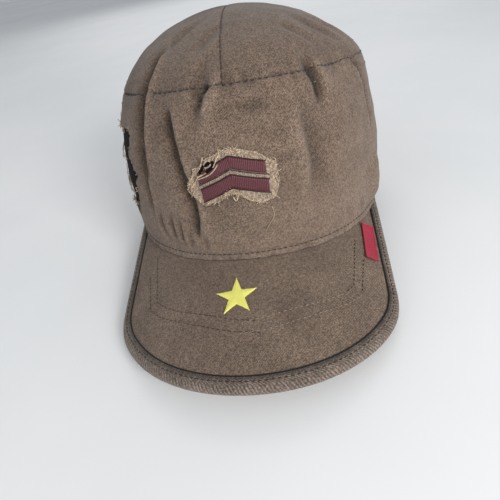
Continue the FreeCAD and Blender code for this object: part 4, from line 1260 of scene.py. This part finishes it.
hole = [(207, 171), (212, 167), (214, 161), (209, 162), (203, 166), (200, 172)]
dark_patch = [shoot(crown_tree, pixel)[0] for pixel in hole]
fray("patch_hole_threads", [[a + Vector((0, -2.05 * MM, 0)), a.lerp(b, 0.5) + Vector((0, -2.1 * MM, 0)), b + Vector((0, -2.05 * MM, 0))]
                            for a, b in zip(dark_patch, dark_patch[1:])], 1.6 * MM, black_cotton, "patch_cloth")
dye(patch, patch_twill, "patch_cloth", "cap", "patch_ground")

# %% Fray round the tear
tear_threads = []
tear_edge = []
for (a1, b1), (a2, b2) in zip(TEAR, TEAR[1:] + TEAR[:1]):
    for step in range(34):
        share = (step + chance.random()) / 34
        tear_edge.append((a1 + (a2 - a1) * share, b1 + (b2 - b1) * share))


def on_side(y, z, raised):
    spot, out, _, _ = crown_tree.ray_cast(Vector((-0.2, y, z)), Vector((1, 0, 0)))
    return spot + out * raised


for a, b in tear_edge:
    if a < -0.5 and chance.random() < 0.75:
        continue
    y, z = TEAR_MIDDLE.y + a * TEAR_HALF[0], TEAR_MIDDLE.z + b * TEAR_HALF[1]
    start = on_side(y, z, chance.uniform(-1.0, 0.1) * MM)
    inward = Vector((0, -a, -b)).normalized()
    way = (inward * chance.uniform(0.2, 1.2) + Vector((0, chance.uniform(-1, 1), chance.uniform(-1, 1)))).normalized()
    tear_threads.append(curl(start, way, Vector((-1, 0, 0)), chance.uniform(1.5, 5) * MM, 1.0))
fray("tear_threads", tear_threads, 0.36 * MM, fray_thread, "crown_cloth")

strands = []
for step in range(9):
    z = TEAR_MIDDLE.z + TEAR_HALF[1] * chance.uniform(-0.75, 0.75)
    ends = [TEAR_MIDDLE.y + side * TEAR_HALF[0] * 0.86 for side in (-1, 1)]
    slope, sag = chance.uniform(-5, 5) * MM, chance.uniform(1, 5) * MM
    line = [on_side(ends[0] + (ends[1] - ends[0]) * share,
                    z + slope * share - sag * math.sin(math.pi * share) + chance.uniform(-1.5, 1.5) * MM,
                    chance.uniform(-0.6, 0.6) * MM) for share in (0, 0.2, 0.4, 0.6, 0.8, 1)]
    strands.append(line)
fray("tear_strands", strands, 0.4 * MM, fray_thread, "crown_cloth")

# %% [markdown]
# The side tag
#
# A short ribbon is sewn flat by the visor's left edge. Its ends lift a little and its long edges are
# raised by a thread.

# %% Side tag
TAG_MIDDLE = (71.0 * MM, -79.6 * MM)
TAG_HALF = (3.5 * MM, 13.4 * MM)
TAG_TURN = math.radians(-5)


def tag_place(across, up):
    side, end = (2 * across - 1) * TAG_HALF[0], (2 * up - 1) * TAG_HALF[1]
    x = TAG_MIDDLE[0] + side * math.cos(TAG_TURN) - end * math.sin(TAG_TURN)
    y = TAG_MIDDLE[1] + side * math.sin(TAG_TURN) + end * math.cos(TAG_TURN)
    curl_up = 0.9 * MM * abs(2 * up - 1) ** 6 + 0.5 * MM * (1 - across) ** 3
    edge = 0.14 * MM if min(across, 1 - across) < 0.1 else 0.0
    return on_top(x, y, 0.75 * MM + curl_up + edge + 0.12 * MM * wander((x, y, 0), 5 * MM, 3))


tag = woven("side_ribbon", 24, 70, tag_place)
thicken(tag, 0.55 * MM)
dye(tag, ribbon_red, "red_ribbon", "cap", "side_tag")

# %% [markdown]
# Inside and back
#
# The sweatband is a loop of cotton inside the hem, open behind. At the back, a bound arch is closed by
# a strap that runs through a clasp buckle, which a short tab holds. These pieces are cloth laid along
# the same oval, at their own distance from the wall.

# %% Sweatband
def on_oval(turn, outset):
    """A point outside the hem's oval by outset, at an angle in radians from the back."""
    return (HALF_WIDTH + outset) * math.sin(turn), (HALF_LENGTH + outset) * math.cos(turn)


BAND_HEIGHT = 31.5 * MM
BAND_END = math.radians(25.5)


def band_place(across, up):
    turn = BAND_END + across * 2 * (math.pi - BAND_END)
    ripple = 0.5 * MM * wander((across * 60, up * 2, 0), 1.0, 5)
    x, y = on_oval(turn, -3.0 * MM - 1.0 * MM * up + ripple * up)
    return x, y, 0.6 * MM + BAND_HEIGHT * up


band = woven("sweatband_cloth", 300, 16, band_place)
thicken(band, 1.0 * MM)
band_wear = [0.3 * wander(vertex.co, 14 * MM, 2) for vertex in band.data.vertices]
band.data.attributes.new("wear_and_shade", "FLOAT", "POINT").data.foreach_set("value", band_wear)
dye(band, band_cotton, "band_cloth", "cap", "sweatband")

# %% Opening edge
EDGE_WIDTH = 3 * MM
EDGE_OUT = 0.75 * MM


def edge_place(across, up):
    """Up runs from the outer face's line, over the cut edge, to the inner face's line."""
    turn = math.pi * across
    side = abs(2 * up - 1)
    over_edge = max(0, (side - 0.3) / 0.7)
    radius = OPENING_HALF - 0.6 * MM + EDGE_WIDTH * over_edge
    depth = EDGE_OUT + 0.1 * MM if up < 0.5 else -WALL - EDGE_OUT - 0.1 * MM
    middle = -WALL / 2
    outset = middle + (depth - middle) * min(1, side / 0.3)
    x = radius * math.cos(turn)
    z = OPENING_SPRING + radius * math.sin(turn)
    back = math.sqrt(1 - (x / HALF_WIDTH) ** 2)
    return x, (HALF_LENGTH + outset) * back + 0.5 * MM, max(z, 0.2 * MM)


edge = woven("opening_edge", 120, 20, edge_place)
thicken(edge, 0.5 * MM, offset=0)
dye(edge, crown_twill, "crown_cloth", "cap", "opening_binding")

# %% Strap and tab
STRAP_LOW, STRAP_WIDTH = 2 * MM, 20 * MM
STRAP_OUT, STRAP_CLOTH = 1.9 * MM, 1.0 * MM
TAIL_TURN = -math.asin(62 / 91.3)
SEWN_TURN = math.asin(61 / 91.3)


def strap_place(across, up):
    turn = TAIL_TURN + (SEWN_TURN - TAIL_TURN) * across
    sewn = max(0, (across - 0.86) / 0.14)
    outset = STRAP_OUT + STRAP_CLOTH - 1.1 * MM * sewn + 0.1 * MM * wander((across * 20, up * 3, 0), 1.0, 7)
    x, y = on_oval(turn, outset)
    crown_edge = 0.18 * MM if min(up, 1 - up) < 0.12 else 0.0
    return x + crown_edge * math.sin(turn), y + crown_edge * math.cos(turn), STRAP_LOW + STRAP_WIDTH * up


strap = woven("strap_cloth", 160, 26, strap_place)
thicken(strap, STRAP_CLOTH, offset=1)
dye(strap, crown_twill, "crown_cloth", "cap", "size_strap")
for label, height in (("low", 4.4), ("high", 19.6)):
    row = [Vector((*on_oval(TAIL_TURN + 0.03 + (SEWN_TURN - TAIL_TURN - 0.06) * step / 60, STRAP_OUT + STRAP_CLOTH + 0.15 * MM
                            - 1.1 * MM * max(0, (step / 60 - 0.86) / 0.14)), height * MM)) for step in range(61)]
    sew(f"strap_row_{label}", row, 3.0 * MM, 2.1 * MM, 0.5 * MM, seam_thread)

BUCKLE_TURN = math.radians(7.5)
BUCKLE_OUT = 1.3 * MM
BUCKLE_LEAN = math.atan((HALF_LENGTH + BUCKLE_OUT) / (HALF_WIDTH + BUCKLE_OUT) * math.tan(BUCKLE_TURN))
BAR_BACK, BAR_DEPTH = 10.8 * MM, 2.4 * MM
TAB_LOW, TAB_WIDTH = 6 * MM, 12 * MM
buckle_x = -(HALF_WIDTH + BUCKLE_OUT) * math.sin(BUCKLE_TURN)
buckle_y = (HALF_LENGTH + BUCKLE_OUT) * math.cos(BUCKLE_TURN)
bar_x = buckle_x - BAR_BACK * math.cos(BUCKLE_LEAN) + BAR_DEPTH * math.sin(BUCKLE_LEAN)
bar_y = buckle_y - BAR_BACK * math.sin(BUCKLE_LEAN) - BAR_DEPTH * math.cos(BUCKLE_LEAN)
TAB_END = -math.asin(55 / 89.5)
BAR_TURN = -math.asin(abs(bar_x) / 89.5)
LOOP = 1.4 * MM


def tab_place(across, up):
    """The tab lies on the wall from its sewn end to the bar, then goes round the bar."""
    run = 0.72
    if across < run:
        x, y = on_oval(TAB_END + (BAR_TURN - 0.02 - TAB_END) * across / run, 1.3 * MM)
    else:
        turn = math.radians(110 - 300 * (across - run) / (1 - run))
        x, y = bar_x + LOOP * math.cos(turn), bar_y + LOOP * math.sin(turn)
    return x, y, TAB_LOW + TAB_WIDTH * up


tab = woven("tab_cloth", 70, 12, tab_place)
thicken(tab, 0.7 * MM, offset=0)
dye(tab, crown_twill, "crown_cloth", "cap", "strap_anchor_tab")

# %% [markdown]
# Buckle and visor board
#
# The buckle's two pieces have their right shape already, so they keep their CAD meshes and get a
# finish: aged brass, with random brighter patches and dull stains. The hidden visor board is plain
# plastic.

# %% Metal and board
brass = Finish("aged brass", rough=0.42, metal=1.0)
stain = brass.specks(brass.coordinates(), 3 * MM, 5)
fine = brass.specks(brass.coordinates(), 0.4 * MM, 2)
brass.join(brass.ramp(stain, (0.35, shade(96, 78, 52)), (0.7, shade(158, 134, 92))), "Base Color")
brass.join(brass.ramp(fine, (0.3, grey(0.3)), (0.7, grey(0.55))), "Roughness")
brass.bump(stain, 0.05 * MM, 0.4)

board = Finish("visor board plastic", rough=0.5)
board_noise = board.specks(board.coordinates(), 2 * MM, 3)
board.join(board.ramp(board_noise, (0.3, shade(196, 194, 186)), (0.7, shade(214, 212, 204))), "Base Color")
board.bump(board_noise, 0.05 * MM, 0.3)

for node, finish in (("buckle_frame", brass), ("buckle_gate", brass), ("visor_board", board)):
    piece = frame["nodes"][node]
    piece.data.materials.clear()
    piece.data.materials.append(finish.material)

# %% [markdown]
# Room and light
#
# A plain pale floor stands for the counter. One large soft lamp above and to the right shapes the
# folds, a weaker one fills from the left, a wide one behind lights the strap and the buckle, and a
# pale sky keeps the shadows open.

# %% Stage
bpy.data.objects.remove(crown_sheet)
bpy.ops.object.select_all(action="DESELECT")
bpy.ops.mesh.primitive_plane_add(size=8)
floor = bpy.context.object
floor.name = "floor"
marble = Finish("pale floor", rough=0.6)
cloud = marble.specks(marble.coordinates(), 0.35, 4)
marble.join(marble.ramp(cloud, (0.3, shade(236, 238, 238)), (0.7, shade(246, 246, 245))), "Base Color")
floor.data.materials.append(marble.material)


def lamp(name, place, size, power, aim_at=(0, 0, 0.06)):
    bpy.ops.object.light_add(type="AREA", location=place)
    light = bpy.context.object
    light.name = name
    light.data.size = size
    light.data.energy = power
    way = Vector(aim_at) - Vector(place)
    light.rotation_euler = way.to_track_quat("-Z", "Y").to_euler()


lamp("window", (0.62, -0.75, 0.5), 0.4, 8.5)
lamp("fill", (-0.8, -0.5, 0.5), 0.8, 1.5)
lamp("back", (0, 1.2, 0.9), 1.4, 5.5)
world = bpy.data.worlds.new("sky")
world.use_nodes = True
world.node_tree.nodes["Background"].inputs["Color"].default_value = shade(240, 244, 250)
world.node_tree.nodes["Background"].inputs["Strength"].default_value = 0.45
bpy.context.scene.world = world
bpy.context.scene.view_settings.view_transform = "Standard"
